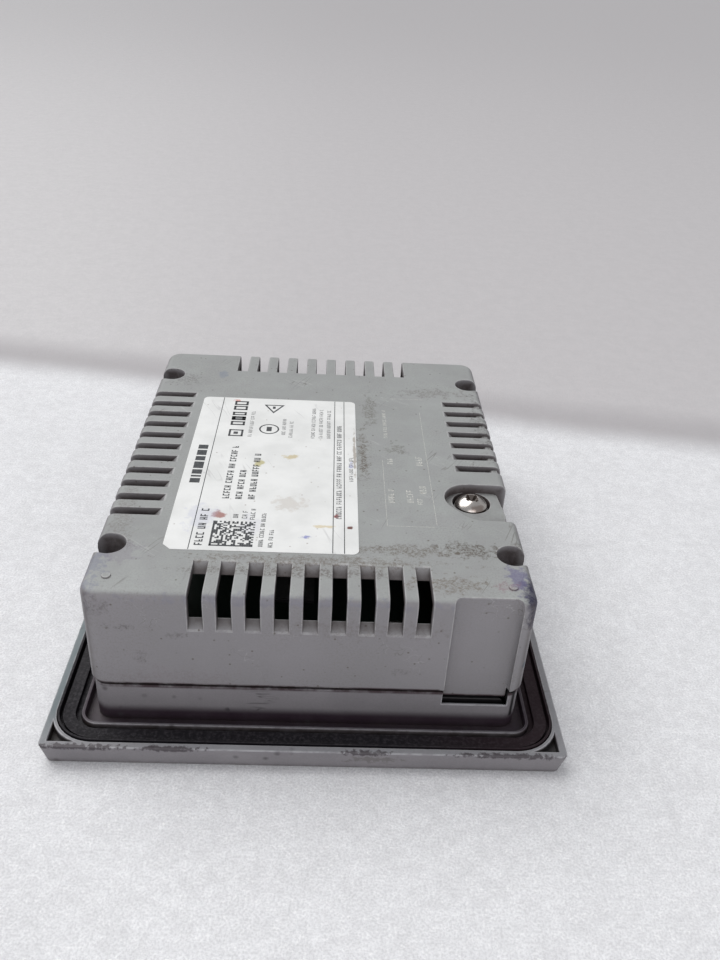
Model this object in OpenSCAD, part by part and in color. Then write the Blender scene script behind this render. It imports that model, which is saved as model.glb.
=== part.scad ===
// Operator panel for a machine door, four-inch class, lying on its front face.
// The origin is the middle of the front face. +Z points to the back of the panel,
// -X to the top edge as it hangs in the door, and +Y to the end that holds key F1.
// All sizes are in millimetres.

/* [Flange] */
// Height of the flange as the panel hangs, along X
flange_w = 116; // [112:1:150]
// Width of the flange as the panel hangs, along Y
flange_l = 140; // [138:1:176]
// Thickness of the flange
flange_t = 5.8; // [5.4:0.1:7.2]
// How far each side leans in towards the front face
flange_lean = 0.9; // [0.3:0.1:1.2]
// Radius of the flange corners
flange_corner_r = 1.6; // [1:0.1:3]
// Width of the flat strip round the gasket trough
rim_w = 1.7; // [1.5:0.1:2.2]
// Thickness of the plate behind the film
plate_t = 3.0; // [2.9:0.1:3.1]

/* [Gasket] */
// Width of the gasket trough
trough_w = 5.3; // [4.8:0.1:5.6]
// Height of the trough floor
trough_floor = 3.2; // [3:0.1:3.4]
// Outer radius of the trough corners
trough_corner_r = 9.5; // [8:0.5:12]
// Thickness of the ridge inside the trough
ridge_t = 0.8; // [0.6:0.1:1]
// Clear gap between the gasket and the trough walls
gasket_gap = 0.15; // [0.1:0.05:0.3]
// How far the sealing lip stands above the flange
gasket_lip = 0.4; // [0.2:0.1:0.8]

/* [Body] */
// Whole depth from the front face to the back face
depth = 40; // [38:1:52]
// Strip of flange left above and below the body
body_margin_x = 9.5; // [9:0.1:9.6]
// Strip of flange left at each end of the body
body_margin_y = 9.5; // [9.2:0.1:9.6]
// How far the body sits off the middle of the flange, along Y
body_shift = 1; // [0:0.1:1.1]
// Radius of the upright corners of the body
body_corner_r = 4; // [3:0.5:6]
// Radius of the edge round the back face
body_edge_r = 2; // [1:0.25:2.5]
// Wall of the rear cover
cover_wall = 2.2; // [1.8:0.1:2.7]
// Thickness of the back of the rear cover
cover_top = 2.4; // [2:0.1:2.9]
// Height of the lower edge of the rear cover
parting_z = 14.6; // [14.2:0.1:15]
// Open joint between the cover and the collar
parting_gap = 1.0; // [0.4:0.1:1.2]
// How far the collar stands in from the cover
collar_inset = 0.5; // [0.3:0.1:0.8]
// Wall of the collar
collar_wall = 2.0; // [1.6:0.1:2.4]
// Thickness of the lip that lines up the cover
lip_t = 1.2; // [0.8:0.1:1.5]
// Height of the lip above the collar
lip_h = 2.6; // [1.5:0.1:2.7]

/* [Vents] */
// Distance from one vent to the next
vent_pitch = 6.07; // [5.5:0.01:7.3]
// Width of the vents at the two ends
end_vent_w = 3.1; // [2.4:0.1:3.8]
// Width of the vents at the top and bottom edges
side_vent_w = 2.7; // [2:0.1:3.4]
// How far each vent runs in over the back face
vent_run = 12.4; // [8:0.1:14.9]
// How far each vent runs down the side
vent_drop = 9.5; // [5:0.1:12]
// Depth of the shallow part of the bottom vents
groove_d = 1.0; // [0.6:0.1:1.4]
// Vents at each end
end_vent_count = 9; // [5:1:9]
// Vents at the top edge
top_vent_count = 11; // [7:1:11]
// Vents at the bottom edge
bottom_vent_count = 7; // [3:1:7]

/* [Screw wells] */
// Radius of each well
well_r = 3.7; // [3.2:0.1:4.5]
// Wall round each well
well_wall = 1.5; // [1.2:0.1:1.9]
// Distance of the well axis from the side face
well_in = 3.2; // [2.8:0.1:3.4]
// Distance of the well axis from the end with the strip slot
well_from_near = 17.5; // [15:0.5:19]
// Distance of the well axis from the other end
well_from_far = 16.2; // [14:0.1:17]
// Thickness of the floor that the housing screw clamps
well_floor_t = 2.5; // [2:0.1:3.1]

/* [Earth terminal] */
// Distance of the screw axis from the bottom side face
earth_in = 9.4; // [9:0.1:11.3]
// Place of the screw axis along Y
earth_y = -17.1; // [-20:0.1:-15]
// Depth of the ledge round the screw
ledge_drop = 2.5; // [2:0.1:3]
// Depth of the step at the side face
side_drop = 6.6; // [4:0.1:8]
// Radius of the well that the washer sits in
washer_well_r = 4.7; // [4.6:0.1:5.6]
// Thread radius of the earth screw
earth_thread_r = 2.0; // [1.7:0.1:2.1]
// Pitch of the earth screw's thread
earth_pitch = 0.7; // [0.5:0.05:0.8]
// How far the earth screw can be backed out
earth_travel = 3.0; // [2:0.5:4]
// Running clearance of the thread
thread_gap = 0.06; // [0.03:0.01:0.1]

/* [Finger recess and strip slot] */
// Width of the recess
recess_w = 14.6; // [10:0.1:16]
// Place of the middle of the recess along X, from the bottom side face
recess_in = 10.7; // [10:0.1:12.5]
// Depth of the recess
recess_d = 2.1; // [1.4:0.1:2.3]
// Radius of the inner corners of the recess
recess_r = 1.8; // [1:0.1:1.9]
// Width of the slot for labelling strips
slot_t = 1.2; // [0.8:0.1:1.4]
// Height of the notch in the collar above the slot
notch_h = 3.6; // [3:0.1:4.3]

/* [Display] */
// Height of the picture, along X
picture_w = 53.86; // [50:0.01:54.5]
// Width of the picture, along Y
picture_l = 95.04; // [80:0.01:97]
// Height of the display module, along X
module_w = 67.2; // [62:0.1:67.8]
// Width of the display module, along Y
module_l = 105.5; // [98:0.1:105.9]
// Thickness of the display module
module_t = 3.5; // [3:0.1:3.9]
// Distance from the top of the body's inside to the display module
module_in = 3.9; // [3.6:0.1:4.5]
// Thickness of the front film
film_t = 0.35; // [0.2:0.05:0.4]

/* [Function keys] */
// Height of a key, along X
key_w = 11; // [8:0.1:13.2]
// Width of a key, along Y
key_l = 20; // [14:0.1:20.8]
// Distance from one key to the next
key_pitch = 25; // [24:0.1:26]
// Travel of a key
key_travel = 0.4; // [0.2:0.05:0.5]
// Clear gap round a key
key_gap = 0.3; // [0.2:0.05:0.4]

/* [Electronics] */
// Height of the underside of the main board
board_z = 17; // [16.9:0.1:18]
// Thickness of the main board
board_t = 1.6; // [1:0.1:2]
// Gap between the main board and the cover
board_gap = 1.0; // [0.6:0.1:1.4]

/* [Hidden] */

// Facets of round shapes, of the children of a hull, and the overlap of a cut past a face
round_fn = 64;
hull_fn = 32;
over = 1;
// A gap that keeps two fitted pieces from touching
fit_gap = 0.05;

// Body: half sizes, ends and inner faces
body_w = flange_w - 2 * body_margin_x;
body_l = flange_l - 2 * body_margin_y;
half_w = body_w / 2;
near_y = body_shift - body_l / 2;
far_y = body_shift + body_l / 2;
collar_w = body_w - 2 * collar_inset;
collar_l = body_l - 2 * collar_inset;
collar_top = parting_z - parting_gap;
collar_near_y = near_y + collar_inset;
inner_w = body_w - 2 * cover_wall;
inner_l = body_l - 2 * cover_wall;
inner_top = depth - cover_top;
lip_gap = 0.25;

// Gasket trough: outer and inner half sizes follow the flange
trough_out_w = flange_w - 2 * rim_w;
trough_out_l = flange_l - 2 * rim_w;
trough_in_w = trough_out_w - 2 * trough_w;
trough_in_l = trough_out_l - 2 * trough_w;
trough_in_r = trough_corner_r - trough_w;
ridge_drop = 0.4;
pocket_wall = 0.9;
pocket_floor = 3.5;

// Front face: the film lies in a shallow recess inside a rim
film_rim = 2.5;
film_recess = 0.6;
film_z = film_recess - film_t;
film_gap = 0.2;
film_w = flange_w - 2 * (flange_lean + film_rim + film_gap);
film_l = flange_l - 2 * (flange_lean + film_rim + film_gap);

// Display stack, from the front: touch screen, module, bracket
display_x = module_in + module_w / 2 - (collar_w / 2 - collar_wall);
window_border = 1.0;
window_w = picture_w + 2 * window_border;
window_l = picture_l + 2 * window_border;
touch_border = 3.0;
touch_w = window_w + 2 * touch_border;
touch_l = window_l + 2 * touch_border;
touch_t = 1.5;
touch_gap = 0.2;
touch_pocket_z = film_recess + touch_t + fit_gap;
module_skin = 0.4;
glass_t = 1.5;
bracket_t = 1.0;
bracket_z = plate_t + module_t + fit_gap;
bracket_gap = 0.3;
bracket_post_r = 2.1;
bracket_post_in = 2.0;
bracket_post_span = 25;

// Function keys: a row beside the display module
module_to_key = 4.7;
key_x = display_x + module_w / 2 + module_to_key + key_w / 2;
key_corner_r = 2;
key_face_z = 0.1;
key_shoulder = 0.9;
key_shoulder_t = 1.0;
key_stop_gap = 0.1;
key_shoulder_z = plate_t + key_stop_gap;
stem_h = 0.5;
stem_r = 1.5;
dome_gap = 0.2;
dome_h = 0.6;
dome_r = 4;
dome_z = key_shoulder_z + key_shoulder_t + stem_h + key_travel + dome_gap;
keypad_z = dome_z + dome_h;
keypad_t = 1.0;
keypad_w = key_w + 2 * key_shoulder + 1.4;
keypad_post_r = 2.0;
keypad_post_y = 1.5 * key_pitch + key_l / 2 + key_shoulder + keypad_post_r + 0.6;
keypad_l = 2 * keypad_post_y + 2 * keypad_post_r;
rib_t = 1.6;

// Small screws of the keypad board and the bracket
small_r = 1.0;
small_head_r = 1.9;
small_head_h = 1.3;
small_len = 3.2;
small_hole_r = 1.2;

// Housing wells: one near each corner
well_x = half_w - well_in;
well_ys = [near_y + well_from_near, far_y - well_from_far];
well_floor = parting_z + well_floor_t;
post_r = 2.6;
m3_r = 1.5;
m3_head_r = 2.7;
m3_head_h = 2.2;
m3_hole_r = 1.7;
m3_len = 10;
cut_gap = 0.02;

// Vents: rows along each edge of the back face
vent_row_y = body_shift + 0.3 + vent_pitch * (top_vent_count - 1) / 2;
groove_start = 2.5;
groove_drop = 5;

// Earth terminal: a ledge with a well for the washer, a threaded insert and a strap
earth_x = half_w - earth_in;
ledge_z = depth - ledge_drop;
ledge_r = 6.3;
ledge_far_gap = 4.6;
ledge_edge_in = 2.3;
ledge_len = 15.9;
ledge_corner_r = 1.4;
insert_top = ledge_z - 2.3;
insert_h = 4.7;
insert_r = 3.4;
insert_z = insert_top - insert_h;
boss_r = washer_well_r + 1.7;
washer_t = 0.95;
washer_z = insert_top + fit_gap;
washer_r = washer_well_r - 0.4;
head_z = washer_z + washer_t + fit_gap;
head_h = 3.1;
head_r = 2 * earth_thread_r;
head_crown_r = 6.5;
earth_len = 10;
strap_t = 0.6;
strap_w = 6;

// Finger recess and strip slot at the near end
recess_x = half_w - recess_in;
recess_back_y = near_y + recess_d;
recess_back_t = 2.0;
tongue_drop = 3.4;
tongue_t = 1.6;
notch_side = 0.1;
slot_floor = trough_floor + 0.3;
slot_wall = 1.6;

// Main board and what stands on it
board_w = inner_w - 2 * board_gap;
board_l = inner_l - 2 * board_gap;
board_top = board_z + board_t;
board_hole_x = [display_x - 27.5, display_x + 28.5];
board_hole_y = [body_shift - 46, body_shift + 46];
standoff_r = 2.5;
standoff_z = bracket_z + bracket_t;
port_face_x = half_w - cover_wall - 0.2;
port_gap = 0.3;
socket_h = 1.8;

// Network socket
rj45_y = body_shift + 12;
rj45_w = 16;
rj45_len = 21.3;
rj45_h = 13.5;
rj45_skin = 0.4;
plug_w = 11.9;
plug_h = 7.2;
plug_deep = 14;

// Serial-bus socket
usb_y = body_shift - 5;
usb_w = 13.2;
usb_len = 14;
usb_h = 5.8;
usb_skin = 0.35;
usb_tongue_t = 1.8;

// Two-pole supply socket
power_y = body_shift + 31.5;
power_w = 12;
power_len = 12;
power_h = 9;
power_wall = 0.9;
power_pitch = 5.08;
pin_t = 0.9;
pin_len = 8;

// Label on the back and the two locating pips
label_t = 0.12;
label_w = 43.8;
label_l = 74.2;
label_x = -11.6;
label_y = -6.6;
label_r = 1.6;
label_cut = 1.8;
pip_r = 1.0;
pip_h = 0.4;
pip_in_x = 5.1;
pip_in_y = 5.8;

// A rectangle with round corners, as true arcs
module rounded_rect(w, l, r) {
    square([w - 2 * r, l], center = true);
    square([w, l - 2 * r], center = true);
    for (x = [-1, 1], y = [-1, 1])
        translate([x * (w / 2 - r), y * (l / 2 - r)])
            circle(r = r, $fn = round_fn);
}

// An upright block with round corners between two heights, centred on the flange
module block(w, l, r, z0, z1) {
    translate([0, 0, z0])
        linear_extrude(z1 - z0)
            rounded_rect(w, l, r);
}

// The same, centred on the body
module body_block(w, l, r, z0, z1) {
    translate([0, body_shift, 0])
        block(w, l, r, z0, z1);
}

// A ring between two body blocks
module body_ring(w, l, r, wall, z0, z1) {
    difference() {
        body_block(w, l, r, z0, z1);
        body_block(w - 2 * wall, l - 2 * wall, max(r - wall, 0.5), z0 - over, z1 + over);
    }
}

// A box from a corner to its sizes, centred along Y
module box_y(x0, y, z0, dx, dy, dz) {
    translate([x0, y - dy / 2, z0])
        cube([dx, dy, dz]);
}

// One child at each housing well
module at_wells() {
    for (x = [-1, 1], y = well_ys)
        translate([x * well_x, y, 0])
            children();
}

// One child at each corner hole of the main board
module at_board_holes() {
    for (x = board_hole_x, y = board_hole_y)
        translate([x, y, 0])
            children();
}

// One child at each bracket post, two at either end of the body
module at_bracket_posts() {
    for (x = [-1, 1], y = [-1, 1])
        translate([
            display_x + x * bracket_post_span,
            body_shift + y * (collar_l / 2 - collar_wall - bracket_post_in),
            0
        ])
            children();
}

// One child at each end of the keypad board
module at_keypad_posts() {
    for (y = [-1, 1])
        translate([key_x, y * keypad_post_y, 0])
            children();
}

// A pan head screw with a cross recess, its seat at z = 0
module pan_screw(thread_r, length, r, h, crown_r, turn = 0) {
    difference() {
        union() {
            intersection() {
                cylinder(r = r, h = h, $fn = round_fn);
                translate([0, 0, h - crown_r])
                    sphere(r = crown_r, $fn = round_fn);
            }
            translate([0, 0, -length])
                cylinder(r = thread_r, h = length + h / 3, $fn = round_fn);
        }
        for (a = [0, 90])
            rotate([0, 0, a + turn])
                translate([-0.58 * r, -0.12 * r, h * 0.42])
                    cube([1.16 * r, 0.24 * r, h]);
    }
}

// Plan of a key, grown by a margin
module key_plan(grow) {
    rounded_rect(key_w + 2 * grow, key_l + 2 * grow, key_corner_r + grow);
}

// Place of one key along Y, counted from F1
function key_y(i) = (1.5 - i) * key_pitch;

// The flange plate, leaning in towards the front face
module flange_plate() {
    hull() {
        translate([0, 0, flange_t - 0.6])
            linear_extrude(0.6)
                rounded_rect(flange_w, flange_l, flange_corner_r, $fn = hull_fn);
        linear_extrude(0.2)
            rounded_rect(flange_w - 2 * flange_lean, flange_l - 2 * flange_lean, flange_corner_r);
    }
}

// The pocket left in each corner of the flange, outside the round end of the trough
module corner_pockets() {
    translate([0, 0, pocket_floor])
        linear_extrude(flange_t)
            difference() {
                square([trough_out_w, trough_out_l], center = true);
                rounded_rect(
                    trough_out_w + 2 * pocket_wall,
                    trough_out_l + 2 * pocket_wall,
                    trough_corner_r + pocket_wall
                );
            }
}

// The gasket trough, and the gap between its inner ridge and the collar
module rear_channels() {
    difference() {
        block(trough_out_w, trough_out_l, trough_corner_r, trough_floor, flange_t + over);
        block(trough_in_w, trough_in_l, trough_in_r, trough_floor - over, flange_t - ridge_drop);
        body_block(collar_w, collar_l, body_corner_r - collar_inset, 0, flange_t + 2 * over);
    }
    difference() {
        block(
            trough_in_w - 2 * ridge_t, trough_in_l - 2 * ridge_t, trough_in_r - ridge_t,
            plate_t, flange_t + over
        );
        body_block(collar_w, collar_l, body_corner_r - collar_inset, 0, flange_t + 2 * over);
    }
}

// The front recesses: film, touch screen, picture opening and key openings
module front_cuts() {
    block(
        film_w + 2 * film_gap, film_l + 2 * film_gap, flange_corner_r + 1,
        -over, film_recess
    );
    translate([display_x, 0, -over]) {
        linear_extrude(touch_pocket_z + over)
            rounded_rect(touch_w + 2 * touch_gap, touch_l + 2 * touch_gap, 1.2);
        linear_extrude(plate_t + 2 * over)
            rounded_rect(window_w, window_l, 0.8);
    }
    for (i = [0:3])
        translate([key_x, key_y(i), -over])
            linear_extrude(plate_t + 2 * over)
                key_plan(key_gap);
}

// The flange with the lower part of the body moulded on it
module front_frame() {
    color("#8d9191")
        difference() {
            union() {
                flange_plate();
                body_block(collar_w, collar_l, body_corner_r - collar_inset, plate_t - over, collar_top);
                lining_lip();
            }
            rear_channels();
            corner_pockets();
            frame_inside();
            front_cuts();
            strip_slot();
            at_wells()
                translate([0, 0, plate_t + 2])
                    cylinder(r = m3_r + cut_gap, h = depth, $fn = round_fn);
        }
}

// The lip that lines up the cover, cut away at the wells and the finger recess
module lining_lip() {
    lip_w = inner_w - 2 * lip_gap;
    lip_l = inner_l - 2 * lip_gap;
    difference() {
        body_ring(
            lip_w, lip_l, body_corner_r - cover_wall, lip_t,
            collar_top - over, collar_top + lip_h
        );
        at_wells()
            translate([0, 0, collar_top])
                cylinder(r = well_r + well_wall + 2 * lip_gap, h = depth, $fn = round_fn);
        box_y(
            recess_x - recess_w / 2 - recess_back_t - 2 * lip_gap, near_y, collar_top,
            half_w, 4 * cover_wall, depth
        );
    }
}

// The hollow of the collar, less the posts and ribs that stand in it
module frame_inside() {
    difference() {
        body_block(
            collar_w - 2 * collar_wall, collar_l - 2 * collar_wall, body_corner_r - collar_wall,
            plate_t, collar_top + over
        );
        body_ring(
            inner_w - 2 * lip_gap, inner_l - 2 * lip_gap, body_corner_r - cover_wall, lip_t,
            collar_top - over, collar_top + lip_h + over
        );
        at_wells()
            cylinder(r = post_r, h = parting_z, $fn = round_fn);
        at_bracket_posts()
            bracket_post();
        at_keypad_posts()
            keypad_post();
        for (i = [0:2])
            translate([key_x, (key_y(i) + key_y(i + 1)) / 2, keypad_z / 2])
                cube([key_w, rib_t, keypad_z], center = true);
        box_y(
            recess_x - recess_w / 2 - slot_wall, collar_near_y, 0,
            recess_w + 2 * slot_wall, 2 * (collar_wall + slot_wall), collar_top - notch_h
        );
    }
}

// A post under the bracket, with its screw hole
module bracket_post() {
    difference() {
        cylinder(r = bracket_post_r, h = bracket_z, $fn = round_fn);
        translate([0, 0, plate_t])
            cylinder(r = small_r + cut_gap, h = depth, $fn = round_fn);
    }
}

// A post under the keypad board, with its screw hole
module keypad_post() {
    difference() {
        cylinder(r = keypad_post_r, h = keypad_z, $fn = round_fn);
        translate([0, 0, plate_t])
            cylinder(r = small_r + cut_gap, h = depth, $fn = round_fn);
    }
}

// The notch in the collar below the finger recess, and the slot that goes down from it
module strip_slot() {
    box_y(
        recess_x - recess_w / 2 - notch_side, collar_near_y, collar_top - notch_h,
        recess_w + 2 * notch_side, 2 * (collar_wall + slot_wall), notch_h + over
    );
    translate([recess_x - recess_w / 2, collar_near_y + slot_wall / 2, slot_floor])
        cube([recess_w, slot_t, collar_top]);
}

// The seal: a band in the trough with a lip along its outer edge
module mounting_gasket() {
    out_w = trough_out_w - 2 * gasket_gap;
    out_l = trough_out_l - 2 * gasket_gap;
    in_w = trough_in_w + 2 * gasket_gap;
    in_l = trough_in_l + 2 * gasket_gap;
    out_r = trough_corner_r - gasket_gap;
    in_r = trough_in_r + gasket_gap;
    band_in = 1.1;
    lip = 0.5;
    foot_z = trough_floor + 1;
    band_z = flange_t - 0.3;
    color("#17181a")
        difference() {
            union() {
                block(out_w, out_l, out_r, trough_floor, foot_z);
                difference() {
                    block(
                        out_w - 2 * band_in, out_l - 2 * band_in, out_r - band_in,
                        foot_z - fit_gap, band_z
                    );
                    block(in_w + 2 * band_in, in_l + 2 * band_in, in_r + band_in, 0, depth);
                }
                difference() {
                    block(out_w, out_l, out_r, foot_z - fit_gap, flange_t + gasket_lip);
                    block(out_w - 2 * lip, out_l - 2 * lip, out_r - lip, 0, depth);
                }
            }
            block(in_w, in_l, in_r, 0, depth);
        }
}

// The printed film on the front, open at the window and the keys
module front_film() {
    color("#3c4247")
        translate([0, 0, film_z])
            linear_extrude(film_t)
                difference() {
                    rounded_rect(film_w, film_l, flange_corner_r + 0.8);
                    translate([display_x, 0])
                        rounded_rect(window_w + 2 * fit_gap, window_l + 2 * fit_gap, 0.8);
                    for (i = [0:3])
                        translate([key_x, key_y(i)])
                            key_plan(key_gap);
                }
}

// Touch glass, with the part that fills the window of the film
module touch_screen() {
    color("#20252a")
        translate([display_x, 0, 0]) {
            translate([0, 0, film_recess])
                linear_extrude(touch_t)
                    rounded_rect(touch_w, touch_l, 1);
            translate([0, 0, film_z])
                linear_extrude(film_t + fit_gap)
                    rounded_rect(window_w - 2 * fit_gap, window_l - 2 * fit_gap, 0.8);
        }
}

// One function key: cap, shoulder behind the plate, and the stem that meets the dome
module function_key(i) {
    color("#d9dbd8")
        translate([key_x, key_y(i), 0]) {
            translate([0, 0, key_face_z])
                linear_extrude(key_shoulder_z - key_face_z)
                    key_plan(0);
            translate([0, 0, key_shoulder_z])
                linear_extrude(key_shoulder_t)
                    key_plan(key_shoulder);
            translate([0, 0, key_shoulder_z + key_shoulder_t - fit_gap])
                cylinder(r = stem_r, h = stem_h + fit_gap, $fn = round_fn);
        }
}

module f1_key() {
    function_key(0);
}

module f2_key() {
    function_key(1);
}

module f3_key() {
    function_key(2);
}

module f4_key() {
    function_key(3);
}

// Four metal snap domes, drawn pressed flat
module key_domes() {
    color("#c9ccd0")
        for (i = [0:3])
            translate([key_x, key_y(i), dome_z])
                cylinder(r1 = dome_r / 2, r2 = dome_r, h = dome_h, $fn = round_fn);
}

// The switch board behind the keys
module keypad_board() {
    color("#2f6b4a")
        difference() {
            translate([key_x, 0, keypad_z])
                linear_extrude(keypad_t)
                    rounded_rect(keypad_w, keypad_l, 1);
            at_keypad_posts()
                cylinder(r = small_hole_r, h = depth, $fn = round_fn);
        }
}

module keypad_screws() {
    color("#a8abae")
        at_keypad_posts()
            translate([0, 0, keypad_z + keypad_t])
                pan_screw(small_r, small_len, small_head_r, small_head_h, 3);
}

// Ribbon from the keypad board up to its socket
module keypad_cable() {
    color("#e8e6dc")
        box_y(key_x, 6, keypad_z + keypad_t, 0.25, 10, board_z - socket_h - keypad_z - keypad_t);
}

// Metal frame round the display module, open at the back and at the picture
module lcd_frame() {
    color("#b9bdc2")
        translate([display_x, 0, plate_t])
            difference() {
                linear_extrude(module_t)
                    rounded_rect(module_w, module_l, 0.8);
                translate([0, 0, module_skin])
                    linear_extrude(module_t)
                        rounded_rect(module_w - 2 * module_skin, module_l - 2 * module_skin, 0.5);
                translate([0, 0, -over])
                    linear_extrude(module_t)
                        rounded_rect(window_w, window_l, 0.5);
            }
}

module lcd_glass() {
    color("#1b1f24")
        translate([display_x, 0, plate_t + module_skin])
            linear_extrude(glass_t)
                rounded_rect(module_w - 2 * module_skin - 0.4, module_l - 2 * module_skin - 0.4, 0.5);
}

// Light guide and reflector tray behind the glass
module backlight() {
    tray_z = plate_t + module_skin + glass_t + fit_gap;
    color("#eceeee")
        translate([display_x, 0, tray_z])
            linear_extrude(plate_t + module_t - tray_z)
                rounded_rect(module_w - 2 * module_skin - 0.4, module_l - 2 * module_skin - 0.4, 0.5);
}

// Ribbon from the display module to its socket under the main board
module display_cable() {
    edge_x = display_x + module_w / 2;
    ribbon_t = 0.25;
    low_z = plate_t + module_t / 2;
    high_z = board_z - socket_h / 2;
    bend_x = edge_x + 1.9;
    end_x = edge_x - 3;
    color("#d8a24a")
        translate([0, 15, 0])
            rotate([90, 0, 0])
                linear_extrude(26)
                    polygon([
                        [edge_x, low_z], [bend_x, low_z], [bend_x, high_z], [end_x, high_z],
                        [end_x, high_z - ribbon_t], [bend_x - ribbon_t, high_z - ribbon_t],
                        [bend_x - ribbon_t, low_z + ribbon_t], [edge_x, low_z + ribbon_t]
                    ]);
}

// Sheet-metal plate that holds the display module down and carries the main board
module display_bracket() {
    plate_l = collar_l - 2 * (collar_wall + bracket_gap);
    color("#b4b8ba")
        difference() {
            translate([display_x, body_shift, bracket_z])
                linear_extrude(bracket_t)
                    rounded_rect(module_w, plate_l, 2);
            for (y = [-1, 1])
                translate([display_x, body_shift + y * 24, bracket_z - over])
                    linear_extrude(bracket_t + 2 * over)
                        rounded_rect(36, 30, 4);
            at_bracket_posts()
                cylinder(r = small_hole_r, h = depth, $fn = round_fn);
        }
}

module bracket_screws() {
    color("#a8abae")
        at_bracket_posts()
            translate([0, 0, bracket_z + bracket_t])
                pan_screw(small_r, small_len, small_head_r, small_head_h, 3);
}

// Threaded pillars between the bracket and the main board
module board_standoffs() {
    color("#c8b36a")
        at_board_holes()
            translate([0, 0, standoff_z])
                difference() {
                    cylinder(r = standoff_r, h = board_z - standoff_z, $fn = round_fn);
                    translate([0, 0, 2])
                        cylinder(r = m3_r + cut_gap, h = depth, $fn = round_fn);
                }
}

// The board: cut away round the wells and behind the finger recess
module main_board() {
    color("#1f5a3c")
        difference() {
            body_block(board_w, board_l, 1, board_z, board_top);
            at_wells()
                translate([0, 0, board_z - over])
                    cylinder(r = well_r + well_wall + board_gap, h = board_t + 2 * over, $fn = round_fn);
            box_y(
                recess_x - recess_w / 2 - recess_back_t - board_gap, near_y, board_z - over,
                half_w, 2 * (recess_d + recess_back_t + board_gap), board_t + 2 * over
            );
            at_board_holes()
                cylinder(r = m3_hole_r, h = depth, $fn = round_fn);
        }
}

module board_screws() {
    color("#a8abae")
        at_board_holes()
            translate([0, 0, board_top])
                pan_screw(m3_r, 6, m3_head_r, m3_head_h, 4.4);
}

// A chip with a bevelled top
module chip(x, y, dx, dy, dz) {
    translate([x, y, board_top]) {
        translate([0, 0, 0.2])
            linear_extrude(dz - 0.4)
                square([dx, dy], center = true);
        linear_extrude(dz)
            square([dx - 0.6, dy - 0.6], center = true);
    }
}

module processor() {
    color("#24272a")
        chip(display_x + 4, body_shift - 8, 19, 19, 1.9);
}

module memory_chips() {
    color("#2b2e31")
        for (y = [-30, 12])
            chip(display_x + 4, body_shift + y, 10, 13, 1.2);
}

// Electrolytic capacitors of the supply
module capacitors() {
    color("#3a4f7a")
        for (y = [28, 37, 46])
            translate([display_x + 17, body_shift + y - 3, board_top])
                cylinder(r = 4, h = 11, $fn = round_fn);
}

module power_inductors() {
    color("#3b3b3d")
        for (y = [26, 41])
            translate([display_x - 2, body_shift + y, board_top])
                difference() {
                    linear_extrude(6)
                        rounded_rect(12, 12, 2.5);
                    translate([0, 0, 5])
                        cylinder(r = 4, h = 2, $fn = round_fn);
                }
}

// Ribbon sockets on the underside of the main board
module board_sockets() {
    edge_x = display_x + module_w / 2;
    color("#efece2") {
        box_y(edge_x - 9, 2, board_z - socket_h, 6 - fit_gap, 28, socket_h);
        box_y(key_x - 2, 6, board_z - socket_h, 4, 12, socket_h);
    }
}

// Metal can of the network socket
module rj45_shield() {
    color("#c3c7cb")
        difference() {
            box_y(port_face_x - rj45_len, rj45_y, board_top, rj45_len, rj45_w, rj45_h);
            box_y(
                port_face_x - rj45_len + rj45_skin, rj45_y, board_top + rj45_skin,
                rj45_len, rj45_w - 2 * rj45_skin, rj45_h - 2 * rj45_skin
            );
        }
}

// Plastic body of the network socket: plug opening, latch opening and the contact comb
module rj45_insert() {
    body_x = port_face_x - rj45_len + rj45_skin + fit_gap;
    body_len = rj45_len - rj45_skin - fit_gap - 0.3;
    body_y = rj45_w - 2 * rj45_skin - 2 * fit_gap;
    body_h = rj45_h - 2 * rj45_skin - 2 * fit_gap;
    low_z = board_top + rj45_skin + fit_gap;
    plug_z = low_z + 3.2;
    color("#26282a") {
        difference() {
            box_y(body_x, rj45_y, low_z, body_len, body_y, body_h);
            box_y(port_face_x - plug_deep, rj45_y, plug_z, plug_deep + over, plug_w, plug_h);
            box_y(port_face_x - plug_deep, rj45_y, plug_z - 1.6, plug_deep + over, 6.2, 2);
        }
        for (i = [0:7])
            box_y(
                port_face_x - plug_deep - fit_gap, rj45_y + (i - 3.5) * 1.02, plug_z + plug_h - 1.2,
                9, 0.4, 1.2 + fit_gap
            );
    }
}

module usb_shell() {
    color("#c9ccd0")
        difference() {
            box_y(port_face_x - usb_len, usb_y, board_top, usb_len, usb_w, usb_h);
            box_y(
                port_face_x - usb_len + usb_skin, usb_y, board_top + usb_skin,
                usb_len, usb_w - 2 * usb_skin, usb_h - 2 * usb_skin
            );
        }
}

module usb_tongue() {
    color("#1d1e20") {
        box_y(
            port_face_x - usb_len + usb_skin + fit_gap, usb_y, board_top + usb_skin + fit_gap,
            3, usb_w - 2 * usb_skin - 2 * fit_gap, usb_h - 2 * usb_skin - 2 * fit_gap
        );
        box_y(
            port_face_x - usb_len + usb_skin + 2, usb_y, board_top + usb_h - usb_skin - 0.7 - usb_tongue_t,
            usb_len - usb_skin - 3.2, 11.1, usb_tongue_t
        );
    }
}

// Housing of the two-pole supply socket
module power_header() {
    color("#2a2c2b")
        difference() {
            box_y(port_face_x - power_len, power_y, board_top, power_len, power_w, power_h);
            box_y(
                port_face_x - power_len + 2, power_y, board_top + power_wall,
                power_len, power_w - 2 * power_wall, power_h - 2 * power_wall
            );
            for (y = [-0.5, 0.5])
                box_y(
                    port_face_x - power_len - over, power_y + y * power_pitch,
                    board_top + (power_h - pin_t) / 2 - fit_gap,
                    power_len, pin_t + 2 * fit_gap, pin_t + 2 * fit_gap
                );
        }
}

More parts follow.
